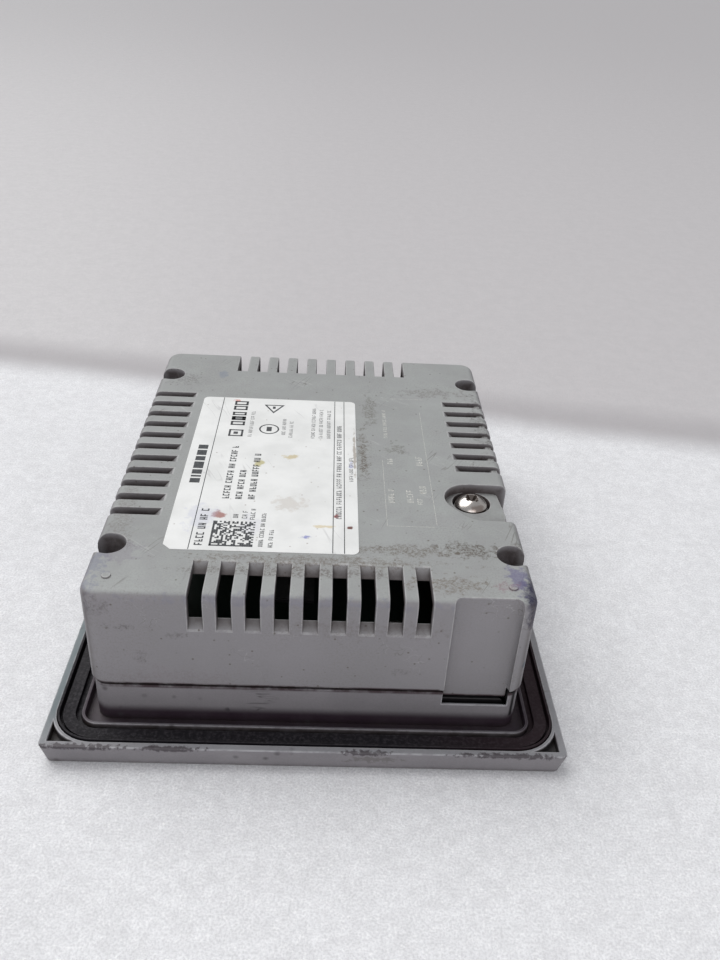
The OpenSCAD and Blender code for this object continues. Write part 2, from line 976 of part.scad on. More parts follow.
module power_pins() {
    color("#d6c07a")
        for (y = [-0.5, 0.5])
            box_y(
                port_face_x - power_len, power_y + y * power_pitch,
                board_top + (power_h - pin_t) / 2, 2 + pin_len, pin_t, pin_t
            );
}

// Threaded insert that the earth screw bites into
module ground_insert() {
    color("#c9b871")
        translate([earth_x, earth_y, insert_z])
            difference() {
                cylinder(r = insert_r - cut_gap, h = insert_h, $fn = round_fn);
                translate([0, 0, -over])
                    cylinder(r = earth_thread_r + thread_gap, h = insert_h + 2 * over, $fn = round_fn);
            }
}

// Strap from the insert down to the main board
module ground_strap() {
    foot_x = earth_x - insert_r - 6;
    drop_x = earth_x - insert_r - 1.5;
    color("#b9bdbf")
        difference() {
            translate([0, earth_y + strap_w / 2, 0])
                rotate([90, 0, 0])
                    linear_extrude(strap_w)
                        polygon([
                            [earth_x + insert_r, insert_z - strap_t], [earth_x + insert_r, insert_z],
                            [drop_x, insert_z], [drop_x, board_top + strap_t],
                            [foot_x, board_top + strap_t], [foot_x, board_top],
                            [drop_x + strap_t, board_top], [drop_x + strap_t, insert_z - strap_t]
                        ]);
            translate([earth_x, earth_y, board_top])
                cylinder(r = earth_thread_r + 0.4, h = depth, $fn = round_fn);
        }
}

module ground_washer() {
    color("#b3b6b8")
        translate([earth_x, earth_y, washer_z])
            difference() {
                cylinder(r = washer_r, h = washer_t, $fn = round_fn);
                translate([0, 0, -over])
                    cylinder(r = earth_thread_r + 0.3, h = washer_t + 2 * over, $fn = round_fn);
            }
}

module ground_screw() {
    color("#d5d5d2")
        translate([earth_x, earth_y, head_z])
            pan_screw(earth_thread_r, earth_len, head_r, head_h, head_crown_r, 42);
}

// One vent over an edge: u runs in from the side face, both ends slope through the wall
module vent(width) {
    reach = 0.3;
    linear_extrude(width, center = true)
        polygon([
            [vent_run + over, depth + over],
            [vent_run - cover_top - reach, inner_top - reach],
            [cover_wall + reach, depth - vent_drop + cover_wall + reach],
            [-over, depth - vent_drop - over],
            [-over, depth + over]
        ]);
}

// A vent that stops short of the edge and goes on as a shallow groove down the side
module grooved_vent(width) {
    reach = 0.3;
    linear_extrude(width, center = true)
        polygon([
            [vent_run + over, depth + over],
            [vent_run - cover_top - reach, inner_top - reach],
            [groove_start + cover_top - groove_d + reach, inner_top - reach],
            [groove_start, depth - groove_d],
            [groove_d, depth - groove_d],
            [groove_d, depth - groove_drop + groove_d],
            [-over, depth - groove_drop - over],
            [-over, depth + over]
        ]);
}

// All the vents: both ends, the top edge and the bottom edge
module vents() {
    for (i = [0:end_vent_count - 1])
        translate([(i - (end_vent_count - 1) / 2) * vent_pitch, 0, 0]) {
            translate([0, near_y, 0])
                rotate([90, 0, 90])
                    vent(end_vent_w);
            translate([0, far_y, 0])
                mirror([0, 1, 0])
                    rotate([90, 0, 90])
                        vent(end_vent_w);
        }
    for (i = [0:top_vent_count - 1])
        translate([-half_w, vent_row_y - i * vent_pitch, 0])
            rotate([90, 0, 0])
                vent(side_vent_w);
    for (i = [0:bottom_vent_count - 1])
        translate([half_w, vent_row_y - i * vent_pitch, 0])
            mirror([1, 0, 0])
                rotate([90, 0, 0])
                    grooved_vent(side_vent_w);
}

// Plan of the ledge round the earth screw, grown by a margin
module ledge_plan(grow) {
    far_edge = earth_y + ledge_far_gap;
    end_x = half_w - ledge_edge_in;
    hull() {
        translate([earth_x - 0.8, far_edge - ledge_r])
            circle(r = ledge_r + grow, $fn = round_fn);
        translate([earth_x + 1.6, far_edge - ledge_len + ledge_r])
            circle(r = ledge_r + grow, $fn = round_fn);
        translate([end_x - ledge_corner_r, far_edge - ledge_corner_r])
            circle(r = ledge_corner_r + grow, $fn = hull_fn);
        translate([end_x - ledge_corner_r, far_edge - ledge_len + ledge_corner_r])
            circle(r = ledge_corner_r + grow, $fn = hull_fn);
    }
}

// What is cut out of the cover for the earth terminal
module earth_cut() {
    far_edge = earth_y + ledge_far_gap;
    end_x = half_w - ledge_edge_in;
    translate([0, 0, ledge_z])
        linear_extrude(depth)
            ledge_plan(0);
    box_y(
        end_x - ledge_corner_r, far_edge - ledge_len / 2, ledge_z,
        half_w, ledge_len, depth
    );
    difference() {
        box_y(
            end_x - ledge_corner_r, far_edge - ledge_len / 2, depth - side_drop,
            half_w, ledge_len, depth
        );
        translate([0, 0, depth - side_drop - over])
            linear_extrude(depth)
                ledge_plan(0);
    }
    translate([earth_x, earth_y, insert_top])
        cylinder(r = washer_well_r, h = depth, $fn = round_fn);
    translate([earth_x, earth_y, insert_z - over])
        cylinder(r = insert_r, h = depth, $fn = round_fn);
}

// What the cover has behind the earth terminal
module earth_backing() {
    far_edge = earth_y + ledge_far_gap;
    back = 2;
    translate([0, 0, ledge_z - back])
        linear_extrude(depth - ledge_z - over + back)
            ledge_plan(back);
    translate([0, 0, depth - side_drop - back])
        linear_extrude(side_drop)
            intersection() {
                ledge_plan(back);
                translate([half_w - ledge_edge_in - back - ledge_corner_r, far_edge - ledge_len - back])
                    square([half_w, ledge_len + 2 * back]);
                square([2 * half_w - cover_wall, flange_l], center = true);
            }
    translate([earth_x, earth_y, insert_z])
        cylinder(r = boss_r, h = depth - insert_z - over, $fn = round_fn);
}

// The finger recess with its round inner corners, cut from the end face up to the back face
module recess_cut() {
    bottom = parting_z - tongue_drop - over;
    translate([recess_x, 0, bottom])
        linear_extrude(depth)
            difference() {
                translate([-recess_w / 2, near_y - over])
                    square([recess_w, recess_d + over]);
                for (x = [-1, 1])
                    translate([x * recess_w / 2, recess_back_y])
                        difference() {
                            square(2 * recess_r, center = true);
                            translate([-x * recess_r, -recess_r])
                                circle(r = recess_r, $fn = round_fn);
                            translate([-recess_r - over - x * recess_r, -2 * recess_r])
                                square([2 * recess_r + 2 * over, recess_r]);
                        }
            }
}

// The outside of the cover before anything is cut from it
module cover_block() {
    ring_r = body_corner_r - body_edge_r;
    top_z = depth - body_edge_r;
    hull()
        for (x = [-1, 1], y = [-1, 1])
            translate([x * (half_w - body_corner_r), body_shift + y * (body_l / 2 - body_corner_r), 0])
                rotate_extrude($fn = hull_fn)
                    polygon([
                        [0, parting_z],
                        [body_corner_r, parting_z],
                        for (a = [0:11.25:90])
                            [ring_r + body_edge_r * cos(a), top_z + body_edge_r * sin(a)],
                        [0, depth]
                    ]);
}

// The openings for the three sockets at the bottom side
module port_openings() {
    wall_x = half_w - cover_wall - over;
    box_y(wall_x, rj45_y, board_top - port_gap, 2 * cover_wall, rj45_w + 2 * port_gap, rj45_h + 2 * port_gap);
    box_y(wall_x, usb_y, board_top - port_gap, 2 * cover_wall, usb_w + 2 * port_gap, usb_h + 2 * port_gap);
    box_y(
        wall_x, power_y, board_top - port_gap,
        2 * cover_wall, power_w + 2 * port_gap, power_h + 2 * port_gap
    );
}

// The housing over the back
module rear_cover() {
    back_y = recess_back_y + recess_back_t;
    color("#8f9393")
        difference() {
            union() {
                difference() {
                    cover_block();
                    body_block(
                        inner_w, inner_l, body_corner_r - cover_wall,
                        parting_z - over, inner_top
                    );
                    vents();
                }
                at_wells()
                    translate([0, 0, parting_z])
                        cylinder(r = well_r + well_wall, h = inner_top - parting_z + over / 2, $fn = round_fn);
                earth_backing();
                box_y(
                    recess_x - recess_w / 2 - recess_back_t, (recess_back_y + back_y) / 2, parting_z,
                    recess_w + recess_back_t + 2 * notch_side, recess_back_t, inner_top - parting_z + over / 2
                );
                box_y(
                    recess_x - recess_w / 2 + notch_side, recess_back_y + tongue_t / 2,
                    parting_z - tongue_drop,
                    recess_w - 2 * notch_side, tongue_t, tongue_drop + over
                );
                for (x = [-1, 1])
                    translate([x * (half_w - pip_in_x), near_y + pip_in_y, depth - over])
                        cylinder(r = pip_r, h = over + pip_h, $fn = round_fn);
            }
            at_wells() {
                translate([0, 0, well_floor])
                    cylinder(r = well_r, h = depth, $fn = round_fn);
                cylinder(r = m3_hole_r, h = depth, $fn = round_fn);
            }
            outside_trim();
            earth_cut();
            recess_cut();
            port_openings();
        }
}

// Takes off what the well walls would leave outside the side faces
module outside_trim() {
    for (x = [-1, 1])
        translate([x * (half_w + body_l / 2), body_shift, 0])
            cube([body_l, 2 * body_l, 4 * depth], center = true);
}

module cover_screws() {
    color("#7d7468")
        at_wells()
            translate([0, 0, well_floor])
                pan_screw(m3_r, m3_len, m3_head_r, m3_head_h, 4.4, 30);
}

// Paper label with one clipped corner
module rating_label() {
    color("#eef0ef")
        translate([label_x, label_y, depth])
            linear_extrude(label_t)
                difference() {
                    rounded_rect(label_w, label_l, label_r);
                    translate([-label_w / 2, -label_l / 2])
                        rotate([0, 0, 45])
                            square(label_cut * sqrt(2), center = true);
                }
}

front_frame();
mounting_gasket();
front_film();
touch_screen();
f1_key();
f2_key();
f3_key();
f4_key();
key_domes();
keypad_board();
keypad_screws();
keypad_cable();
lcd_frame();
lcd_glass();
backlight();
display_cable();
display_bracket();
bracket_screws();
board_standoffs();
main_board();
board_screws();
processor();
memory_chips();
capacitors();
power_inductors();
board_sockets();
rj45_shield();
rj45_insert();
usb_shell();
usb_tongue();
power_header();
power_pins();
ground_insert();
ground_strap();
ground_washer();
ground_screw();
rear_cover();
cover_screws();
rating_label();
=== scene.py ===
# %% [markdown]
# # The back of a four-inch operator panel
# The panel lies face down on a pale floor. Its CAD model is loaded first and stays as it is.
# Around that frame we build what the eye needs: soft edges, moulded plastic with wear,
# a dusty rubber seal, a printed label, real screw heads, and the light.

# %% Load the frame
import math
import random

import bmesh
import bpy
from mathutils import Matrix, Vector


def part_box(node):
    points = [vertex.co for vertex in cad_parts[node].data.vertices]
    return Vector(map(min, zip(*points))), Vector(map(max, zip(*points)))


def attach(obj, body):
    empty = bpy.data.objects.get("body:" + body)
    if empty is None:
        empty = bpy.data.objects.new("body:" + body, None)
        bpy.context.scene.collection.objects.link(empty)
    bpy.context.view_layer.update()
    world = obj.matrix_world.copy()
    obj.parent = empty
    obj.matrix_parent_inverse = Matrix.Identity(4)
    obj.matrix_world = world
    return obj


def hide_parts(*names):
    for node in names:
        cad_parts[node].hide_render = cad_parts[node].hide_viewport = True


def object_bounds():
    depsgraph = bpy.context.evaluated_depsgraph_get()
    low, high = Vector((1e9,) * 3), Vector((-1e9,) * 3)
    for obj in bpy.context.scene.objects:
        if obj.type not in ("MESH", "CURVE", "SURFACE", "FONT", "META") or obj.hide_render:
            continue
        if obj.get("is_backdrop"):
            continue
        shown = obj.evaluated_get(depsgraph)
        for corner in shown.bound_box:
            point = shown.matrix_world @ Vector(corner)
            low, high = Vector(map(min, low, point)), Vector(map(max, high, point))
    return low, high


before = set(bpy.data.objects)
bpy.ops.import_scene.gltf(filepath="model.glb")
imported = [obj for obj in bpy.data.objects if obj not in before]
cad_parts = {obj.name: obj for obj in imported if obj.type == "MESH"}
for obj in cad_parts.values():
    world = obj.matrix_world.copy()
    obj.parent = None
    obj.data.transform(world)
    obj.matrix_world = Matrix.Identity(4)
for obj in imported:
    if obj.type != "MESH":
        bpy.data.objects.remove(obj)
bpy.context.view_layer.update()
mm = 0.001

# %% [markdown]
# ## Camera
# The camera looks down at the panel from its near end. A long lens would flatten the panel, so the
# lens is a little wider than normal. It is placed by azimuth, elevation and roll, as on a tripod.

# %% Camera
def linked(name, data):
    """A new object, linked into the scene."""
    made = bpy.data.objects.new(name, data)
    bpy.context.scene.collection.objects.link(made)
    return made


def look_along(azimuth, elevation, roll):
    """Right and up of a camera that looks along +Y at azimuth 0, tilted down by the elevation."""
    a, e, r = (math.radians(v) for v in (azimuth, elevation, roll))
    forward = Vector((math.sin(a) * math.cos(e), math.cos(a) * math.cos(e), -math.sin(e)))
    level = Vector((math.cos(a), -math.sin(a), 0))
    upward = level.cross(forward)
    right = math.cos(r) * level + math.sin(r) * upward
    return forward, right, right.cross(forward)


camera = linked("camera", bpy.data.cameras.new("camera"))
bpy.context.scene.camera = camera
tripod = (1.47, -202.4, 159.4)
forward, right, up = look_along(azimuth=2.88, elevation=32.08, roll=3.54)
camera.matrix_world = Matrix((
    (right.x, up.x, -forward.x, tripod[0] * mm),
    (right.y, up.y, -forward.y, tripod[1] * mm),
    (right.z, up.z, -forward.z, tripod[2] * mm),
    (0, 0, 0, 1),
))
camera.data.lens = 33.28
camera.data.clip_start = 0.01
print("camera at", [round(v / mm, 1) for v in camera.matrix_world.translation], "mm")

# %% [markdown]
# ## Helpers for modelling
# An operator works on whatever is selected, so each step first selects just its own piece.

# %% Selecting and finishing a piece
def only(piece):
    """Selects this piece and nothing else."""
    if bpy.context.object and bpy.context.object.mode != "OBJECT":
        bpy.ops.object.mode_set(mode="OBJECT")
    bpy.ops.object.select_all(action="DESELECT")
    bpy.context.view_layer.objects.active = piece
    piece.select_set(True)


def fresh(name):
    """Names the primitive that was just added, and puts its place into its mesh."""
    piece = bpy.context.object
    piece.name = name
    piece.data.name = name
    bpy.ops.object.transform_apply(location=True, rotation=True, scale=True)
    return piece


def apply_modifier(piece, kind, **settings):
    """Adds a modifier, sets it and applies it."""
    only(piece)
    modifier = piece.modifiers.new(kind.lower(), kind)
    for key, value in settings.items():
        setattr(modifier, key, value)
    bpy.ops.object.modifier_apply(modifier=modifier.name)


def smooth(piece, degrees=35):
    """Smooth shading, with flat faces kept flat beside their bevels."""
    only(piece)
    bpy.ops.object.shade_smooth_by_angle(angle=math.radians(degrees))
    apply_modifier(piece, "WEIGHTED_NORMAL", keep_sharp=True, weight=60)


def settle(piece, body, material):
    """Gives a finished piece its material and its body."""
    piece.data.materials.clear()
    piece.data.materials.append(material)
    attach(piece, body)
    print(f"{piece.name}: {len(piece.data.polygons)} faces on {body}")


# %% Softening the edges of a CAD copy
def outer_edges(piece, sharper_than, keep):
    """Marks the sharp edges that stick out, so that only they are bevelled. Those in a kept box stay."""
    shape = bmesh.new()
    shape.from_mesh(piece.data)
    weight = shape.edges.layers.float.new("bevel_weight_edge")
    for edge in shape.edges:
        kept = any(
            all(low[k] < end.co[k] / mm < high[k] for end in edge.verts for k in range(3))
            for low, high in keep
        )
        if edge.is_manifold and edge.calc_face_angle_signed(0) > math.radians(sharper_than) and not kept:
            edge[weight] = 1
    shape.to_mesh(piece.data)
    shape.free()


# Points closer than the weld are one, and points just above the flat back go back down to it
WELD = 0.002 * mm
NEARLY_FLAT = math.radians(0.4)
JUST_ABOVE = 0.06 * mm


def softened_copy(node, name, width, segments=2, sharper_than=32, keep=(), top=None):
    """A merged copy of a CAD node with its outer edges bevelled. The bevels get the attribute rubbed."""
    piece = linked(name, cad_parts[node].data.copy())
    only(piece)
    bpy.ops.mesh.customdata_custom_splitnormals_clear()
    bpy.ops.object.mode_set(mode="EDIT")
    bpy.ops.mesh.select_all(action="SELECT")
    bpy.ops.mesh.remove_doubles(threshold=WELD)
    bpy.ops.mesh.dissolve_limited(angle_limit=NEARLY_FLAT)
    bpy.ops.object.mode_set(mode="OBJECT")
    outer_edges(piece, sharper_than, keep)
    piece.data.materials.clear()
    for marker in ("plain", "rubbed"):
        piece.data.materials.append(bpy.data.materials.get(marker) or bpy.data.materials.new(marker))
    piece.data.polygons.foreach_set("material_index", [0] * len(piece.data.polygons))
    apply_modifier(
        piece, "BEVEL",
        limit_method="WEIGHT", width=width, segments=segments,
        use_clamp_overlap=False, material=1,
    )
    for point in piece.data.vertices:
        if top and 0 < point.co.z - top < JUST_ABOVE:
            point.co.z = top
    rubbed = piece.data.attributes.new("rubbed", "FLOAT", "CORNER")
    marks = [0.0] * len(piece.data.loops)
    for face in piece.data.polygons:
        if face.material_index == 1:
            for corner in face.loop_indices:
                marks[corner] = 1.0
    rubbed.data.foreach_set("value", marks)
    piece.data.polygons.foreach_set("material_index", [0] * len(piece.data.polygons))
    smooth(piece)
    return piece

# %% [markdown]
# ## Light and floor
# A wide sun gives even daylight. A big soft light hangs behind the panel and to its left, as from a
# window, and another fills in from the front. The floor is laid later, once its finish is made.

# %% Soft light
def soft_light(name, place, aim, size, power, colour):
    """A square area light that shines from one point towards another."""
    data = bpy.data.lights.new(name, "AREA")
    data.size, data.energy, data.color = size, power, colour
    lamp = linked(name, data)
    lamp.location = place
    lamp.rotation_euler = (Vector(aim) - Vector(place)).to_track_quat("-Z", "Y").to_euler()


sun_data = bpy.data.lights.new("daylight", "SUN")
sun_data.energy, sun_data.angle, sun_data.color = 1.52, math.radians(55), (1.0, 0.99, 0.98)
daylight = linked("daylight", sun_data)
daylight.rotation_euler = Vector((0.45, -0.40, -0.95)).to_track_quat("-Z", "Y").to_euler()
soft_light("window", (-0.45, 0.35, 0.95), (0, 0, 0), 0.9, 2.4, (1.0, 0.99, 0.98))
soft_light("front_fill", (0.1, -0.9, 0.55), (0, 0, 0.02), 0.8, 2.8, (1.0, 0.97, 0.98))
world = bpy.data.worlds.new("room")
bpy.context.scene.world = world
world.use_nodes = True
world.node_tree.nodes["Background"].inputs["Color"].default_value = (0.96, 0.97, 1.0, 1)
world.node_tree.nodes["Background"].inputs["Strength"].default_value = 0.42
bpy.context.scene.view_settings.view_transform = "Standard"

# %% [markdown]
# ## Shader helpers
# A finish is a chain of small effects: a base colour, then tone, dust, dirt and wear on top, each
# with a mask. Two helpers keep the node code short, and each effect that several finishes share
# is a node group with named sockets.

# %% Adding nodes
def fill(tree, made, sockets):
    """Sets a node's inputs. A value that comes from another node is linked."""
    for name, value in dict(sockets).items():
        if isinstance(value, bpy.types.NodeSocket):
            tree.links.new(value, made.inputs[name])
        else:
            made.inputs[name].default_value = value


def add(tree, kind, sockets=(), **settings):
    """Adds a shader node."""
    made = tree.nodes.new("ShaderNode" + kind)
    for key, value in settings.items():
        setattr(made, key, value)
    fill(tree, made, sockets)
    return made


def calc(tree, operation, a, b=0.0, clamp=False):
    """One Math node: a (operation) b."""
    return add(tree, "Math", {0: a, 1: b}, operation=operation, use_clamp=clamp).outputs[0]


def times(tree, a, b, clamp=False):
    """One value multiplied by another."""
    return calc(tree, "MULTIPLY", a, b, clamp)


def ramp(tree, value, low, high, to_low=0.0, to_high=1.0):
    """Turns a value between low and high smoothly into one between to_low and to_high."""
    sockets = {"Value": value, 1: low, 2: high, 3: to_low, 4: to_high}
    return add(tree, "MapRange", sockets, interpolation_type="SMOOTHSTEP").outputs[0]


def mix(tree, share, below, above):
    """Lays one colour over another, by a share."""
    return add(tree, "Mix", {0: share, 6: below, 7: above}, data_type="RGBA").outputs[2]


def noise(tree, vector, scale, detail=3.0, rough=0.55):
    """Noise from 0 to 1, at a scale in cells per metre."""
    sockets = {"Vector": vector, "Scale": scale, "Detail": detail, "Roughness": rough}
    return add(tree, "TexNoise", sockets).outputs["Fac"]


def place(tree):
    """Where a point is on the object, in metres."""
    return add(tree, "TexCoord").outputs["Object"]


def effect(name, outputs=("Mask",), **inputs):
    """An empty node group. An input that is three numbers is a vector, and the rest are floats."""
    group = bpy.data.node_groups.new(name, "ShaderNodeTree")
    for label, value in inputs.items():
        kind = "NodeSocketVector" if isinstance(value, tuple) else "NodeSocketFloat"
        group.interface.new_socket(label, in_out="INPUT", socket_type=kind).default_value = value
    for label in outputs:
        group.interface.new_socket(label, in_out="OUTPUT", socket_type="NodeSocketFloat")
    return group, group.nodes.new("NodeGroupInput").outputs, group.nodes.new("NodeGroupOutput").inputs


def use(tree, group, **sockets):
    """Places an effect in a material."""
    made = tree.nodes.new("ShaderNodeGroup")
    made.node_tree = group
    fill(tree, made, sockets)
    return made.outputs


def mask(tree, group, **sockets):
    """Places an effect and gives its mask."""
    return use(tree, group, **sockets)["Mask"]


def in_mm(*values):
    """A place or a size that is given in millimetres."""
    return tuple(v * mm for v in values)


# %% [markdown]
# ## Shared effects
# Moulded plastic is never even: the tool leaves a fine grain, dust settles on top, dirt and painted shade
# sit in corners, and edges rub pale. Each of these is a mask that a material mixes in by its own amount.

# %% Moulded grain and tone
moulded_grain, given, out = effect("moulded grain", ("Height", "Tone"), Scale=3000.0, Mottle=1.0)
tree = moulded_grain
fine = noise(tree, place(tree), given["Scale"], 2.0, 0.6)
broad = noise(tree, place(tree), 45.0, 4.0, 0.6)
tree.links.new(fine, out["Height"])
mottle = times(tree, calc(tree, "SUBTRACT", broad, 0.5), given["Mottle"])
grainy = times(tree, calc(tree, "SUBTRACT", fine, 0.5), 0.35)
tree.links.new(calc(tree, "ADD", calc(tree, "ADD", mottle, grainy), 0.5, clamp=True), out["Tone"])

# %% Dirt and painted shade in corners
corner_dirt_and_shade, given, out = effect("corner dirt and shade", Reach=0.002, Amount=1.0, Breakup=600.0)
tree = corner_dirt_and_shade
# Ambient occlusion darkens the corners as painted shade, and noise breaks it up as dirt
open_sky = add(tree, "AmbientOcclusion", {"Distance": given["Reach"]}, samples=6).outputs["AO"]
shut_in = ramp(tree, open_sky, 0.85, 0.25)
broken = ramp(tree, noise(tree, place(tree), given["Breakup"], 4.0), 0.3, 0.62, 0.35, 1.0)
amount = times(tree, times(tree, shut_in, broken), given["Amount"], clamp=True)
tree.links.new(amount, out["Mask"])

# %% Rubbed edges
rubbed_edges, given, out = effect("rubbed edges", Amount=1.0, Breakup=350.0)
tree = rubbed_edges
on_edge = add(tree, "Attribute", attribute_name="rubbed").outputs["Fac"]
broken = ramp(tree, noise(tree, place(tree), given["Breakup"], 4.0), 0.35, 0.6, 0.25, 1.0)
amount = times(tree, times(tree, on_edge, broken), given["Amount"], clamp=True)
tree.links.new(amount, out["Mask"])

# %% Specks
specks, given, out = effect("specks", Scale=900.0, Size=0.25, Amount=1.0)
tree = specks
where = place(tree)
bent = add(tree, "VectorMath", {0: where, 1: (0.13, 0.21, 0.17)}, operation="ADD").outputs[0]
cells = add(tree, "TexVoronoi", {"Vector": bent, "Scale": given["Scale"]})
dot = ramp(tree, cells.outputs["Distance"], given["Size"], 0.05)
chosen = ramp(tree, add(tree, "SeparateColor", {0: cells.outputs["Color"]}).outputs[0], 0.78, 0.86)
amount = times(tree, times(tree, dot, chosen), given["Amount"], clamp=True)
tree.links.new(amount, out["Mask"])

# %% Scuffs
scuffs, given, out = effect("scuffs", Turn=0.6, Scale=260.0, Amount=1.0)
tree = scuffs
turned = add(
    tree, "VectorRotate", {"Vector": place(tree), "Angle": given["Turn"]}, rotation_type="Z_AXIS"
).outputs[0]
drawn_out = add(tree, "VectorMath", {0: turned, 1: (1.0, 0.09, 1.0)}, operation="MULTIPLY").outputs[0]
line = calc(tree, "ABSOLUTE", calc(tree, "SUBTRACT", noise(tree, drawn_out, given["Scale"], 2.0), 0.5))
gate = ramp(tree, noise(tree, place(tree), 70.0, 2.0), 0.55, 0.68)
amount = times(tree, times(tree, ramp(tree, line, 0.012, 0.0), gate), given["Amount"])
tree.links.new(amount, out["Mask"])

# %% A stain in one place
stain, given, out = effect(
    "stain", Centre=(0, 0, 0), Size=(0.01, 0.01, 0.01), Ragged=0.6, Scale=500.0
)
tree = stain
away = add(tree, "VectorMath", {0: place(tree), 1: given["Centre"]}, operation="SUBTRACT").outputs[0]
away = add(tree, "VectorMath", {0: away, 1: given["Size"]}, operation="DIVIDE").outputs[0]
distance = add(tree, "VectorMath", {0: away}, operation="LENGTH").outputs["Value"]
rough = calc(tree, "SUBTRACT", noise(tree, place(tree), given["Scale"], 5.0, 0.65), 0.5)
torn = times(tree, times(tree, rough, given["Ragged"]), 4.0)
edge = calc(tree, "ADD", distance, torn)
tree.links.new(ramp(tree, edge, 1.0, 0.45), out["Mask"])

# %% Inside a box
boxed, given, out = effect("inside a box", Centre=(0, 0, 0), Half=(0.01, 0.01, 0.01), Soft=0.001)
tree = boxed
away = add(tree, "VectorMath", {0: place(tree), 1: given["Centre"]}, operation="SUBTRACT").outputs[0]
away = add(tree, "VectorMath", {0: away}, operation="ABSOLUTE").outputs[0]
past = add(tree, "VectorMath", {0: away, 1: given["Half"]}, operation="SUBTRACT").outputs[0]
past = add(tree, "SeparateXYZ", {0: past}).outputs
furthest = calc(tree, "MAXIMUM", calc(tree, "MAXIMUM", past["X"], past["Y"]), past["Z"])
tree.links.new(ramp(tree, furthest, given["Soft"], 0.0), out["Mask"])

# %% Facing up
facing_up, given, out = effect("facing up", Breakup=300.0)
tree = facing_up
# Faces that point up: a mask for settled dust, and on the housing also for painted light on the tops
height = add(tree, "SeparateXYZ", {0: add(tree, "NewGeometry").outputs["Normal"]}).outputs["Z"]
patchy = ramp(tree, noise(tree, place(tree), given["Breakup"], 4.0), 0.25, 0.75, 0.7, 1.0)
tree.links.new(times(tree, ramp(tree, height, 0.55, 0.98), patchy), out["Mask"])
print("effects:", [group.name for group in bpy.data.node_groups])

# %% [markdown]
# ## Finishes
# The housing is one grey plastic in two mouldings. The rear cover's top is painted lighter and cooler and
# its sides darker and warmer, as painted light and shade, and it carries dust. The frame is bluer, its top
# is painted lighter in the same way, its edges are chipped, and the collar is painted darker towards its
# foot.

# %% A plain start for every finish
def finish(name):
    """A new material, with its node tree and its Principled shader."""
    material = bpy.data.materials.new(name)
    material.use_nodes = True
    return material, material.node_tree, material.node_tree.nodes["Principled BSDF"]


def bump(tree, shader, height, strength, distance):
    """Feeds a height into the shader's normal."""
    made = add(tree, "Bump", {"Strength": strength, "Distance": distance, "Height": height})
    tree.links.new(made.outputs[0], shader.inputs["Normal"])


def shade(colour, share):
    """A colour made darker or lighter."""
    return tuple(channel * share for channel in colour[:3]) + (1.0,)


GRIME_AND_SHADE = (0.035, 0.027, 0.022, 1)
DUST = (0.52, 0.53, 0.52, 1)
BARE = (0.50, 0.50, 0.50, 1)

# %% Rear cover plastic
cover_plastic, tree, shader = finish("cover_plastic")
grain = use(tree, moulded_grain, Scale=2600.0, Mottle=0.8)
up_facing = mask(tree, facing_up, Breakup=220.0)
# Painted light: the top is painted lighter and cooler than the sides, which are painted darker and warmer
colour = mix(tree, up_facing, (0.262, 0.252, 0.266, 1), (0.335, 0.352, 0.345, 1))
colour = mix(tree, ramp(tree, grain["Tone"], 0.25, 0.8, 0.0, 0.42), colour, (0.2, 0.2, 0.2, 1))
edges = mask(tree, rubbed_edges, Amount=0.42, Breakup=420.0)
colour = mix(tree, edges, colour, BARE)
faint = mask(tree, scuffs, Turn=0.5, Scale=240.0, Amount=0.6)
colour = mix(tree, faint, colour, (0.12, 0.11, 0.10, 1))
pale = mask(tree, scuffs, Turn=-0.9, Scale=320.0, Amount=0.3)
colour = mix(tree, pale, colour, (0.55, 0.56, 0.55, 1))
dots = mask(tree, specks, Scale=620.0, Size=0.22, Amount=0.85)
colour = mix(tree, dots, colour, (0.10, 0.085, 0.07, 1))
dusting = ramp(tree, noise(tree, place(tree), 1900.0, 5.0, 0.75), 0.48, 0.66, 0.0, 0.34)
drifts = ramp(tree, noise(tree, place(tree), 55.0, 3.0), 0.42, 0.62, 0.25, 1.0)
dusting = times(tree, dusting, drifts)
colour = mix(tree, dusting, colour, (0.16, 0.14, 0.125, 1))
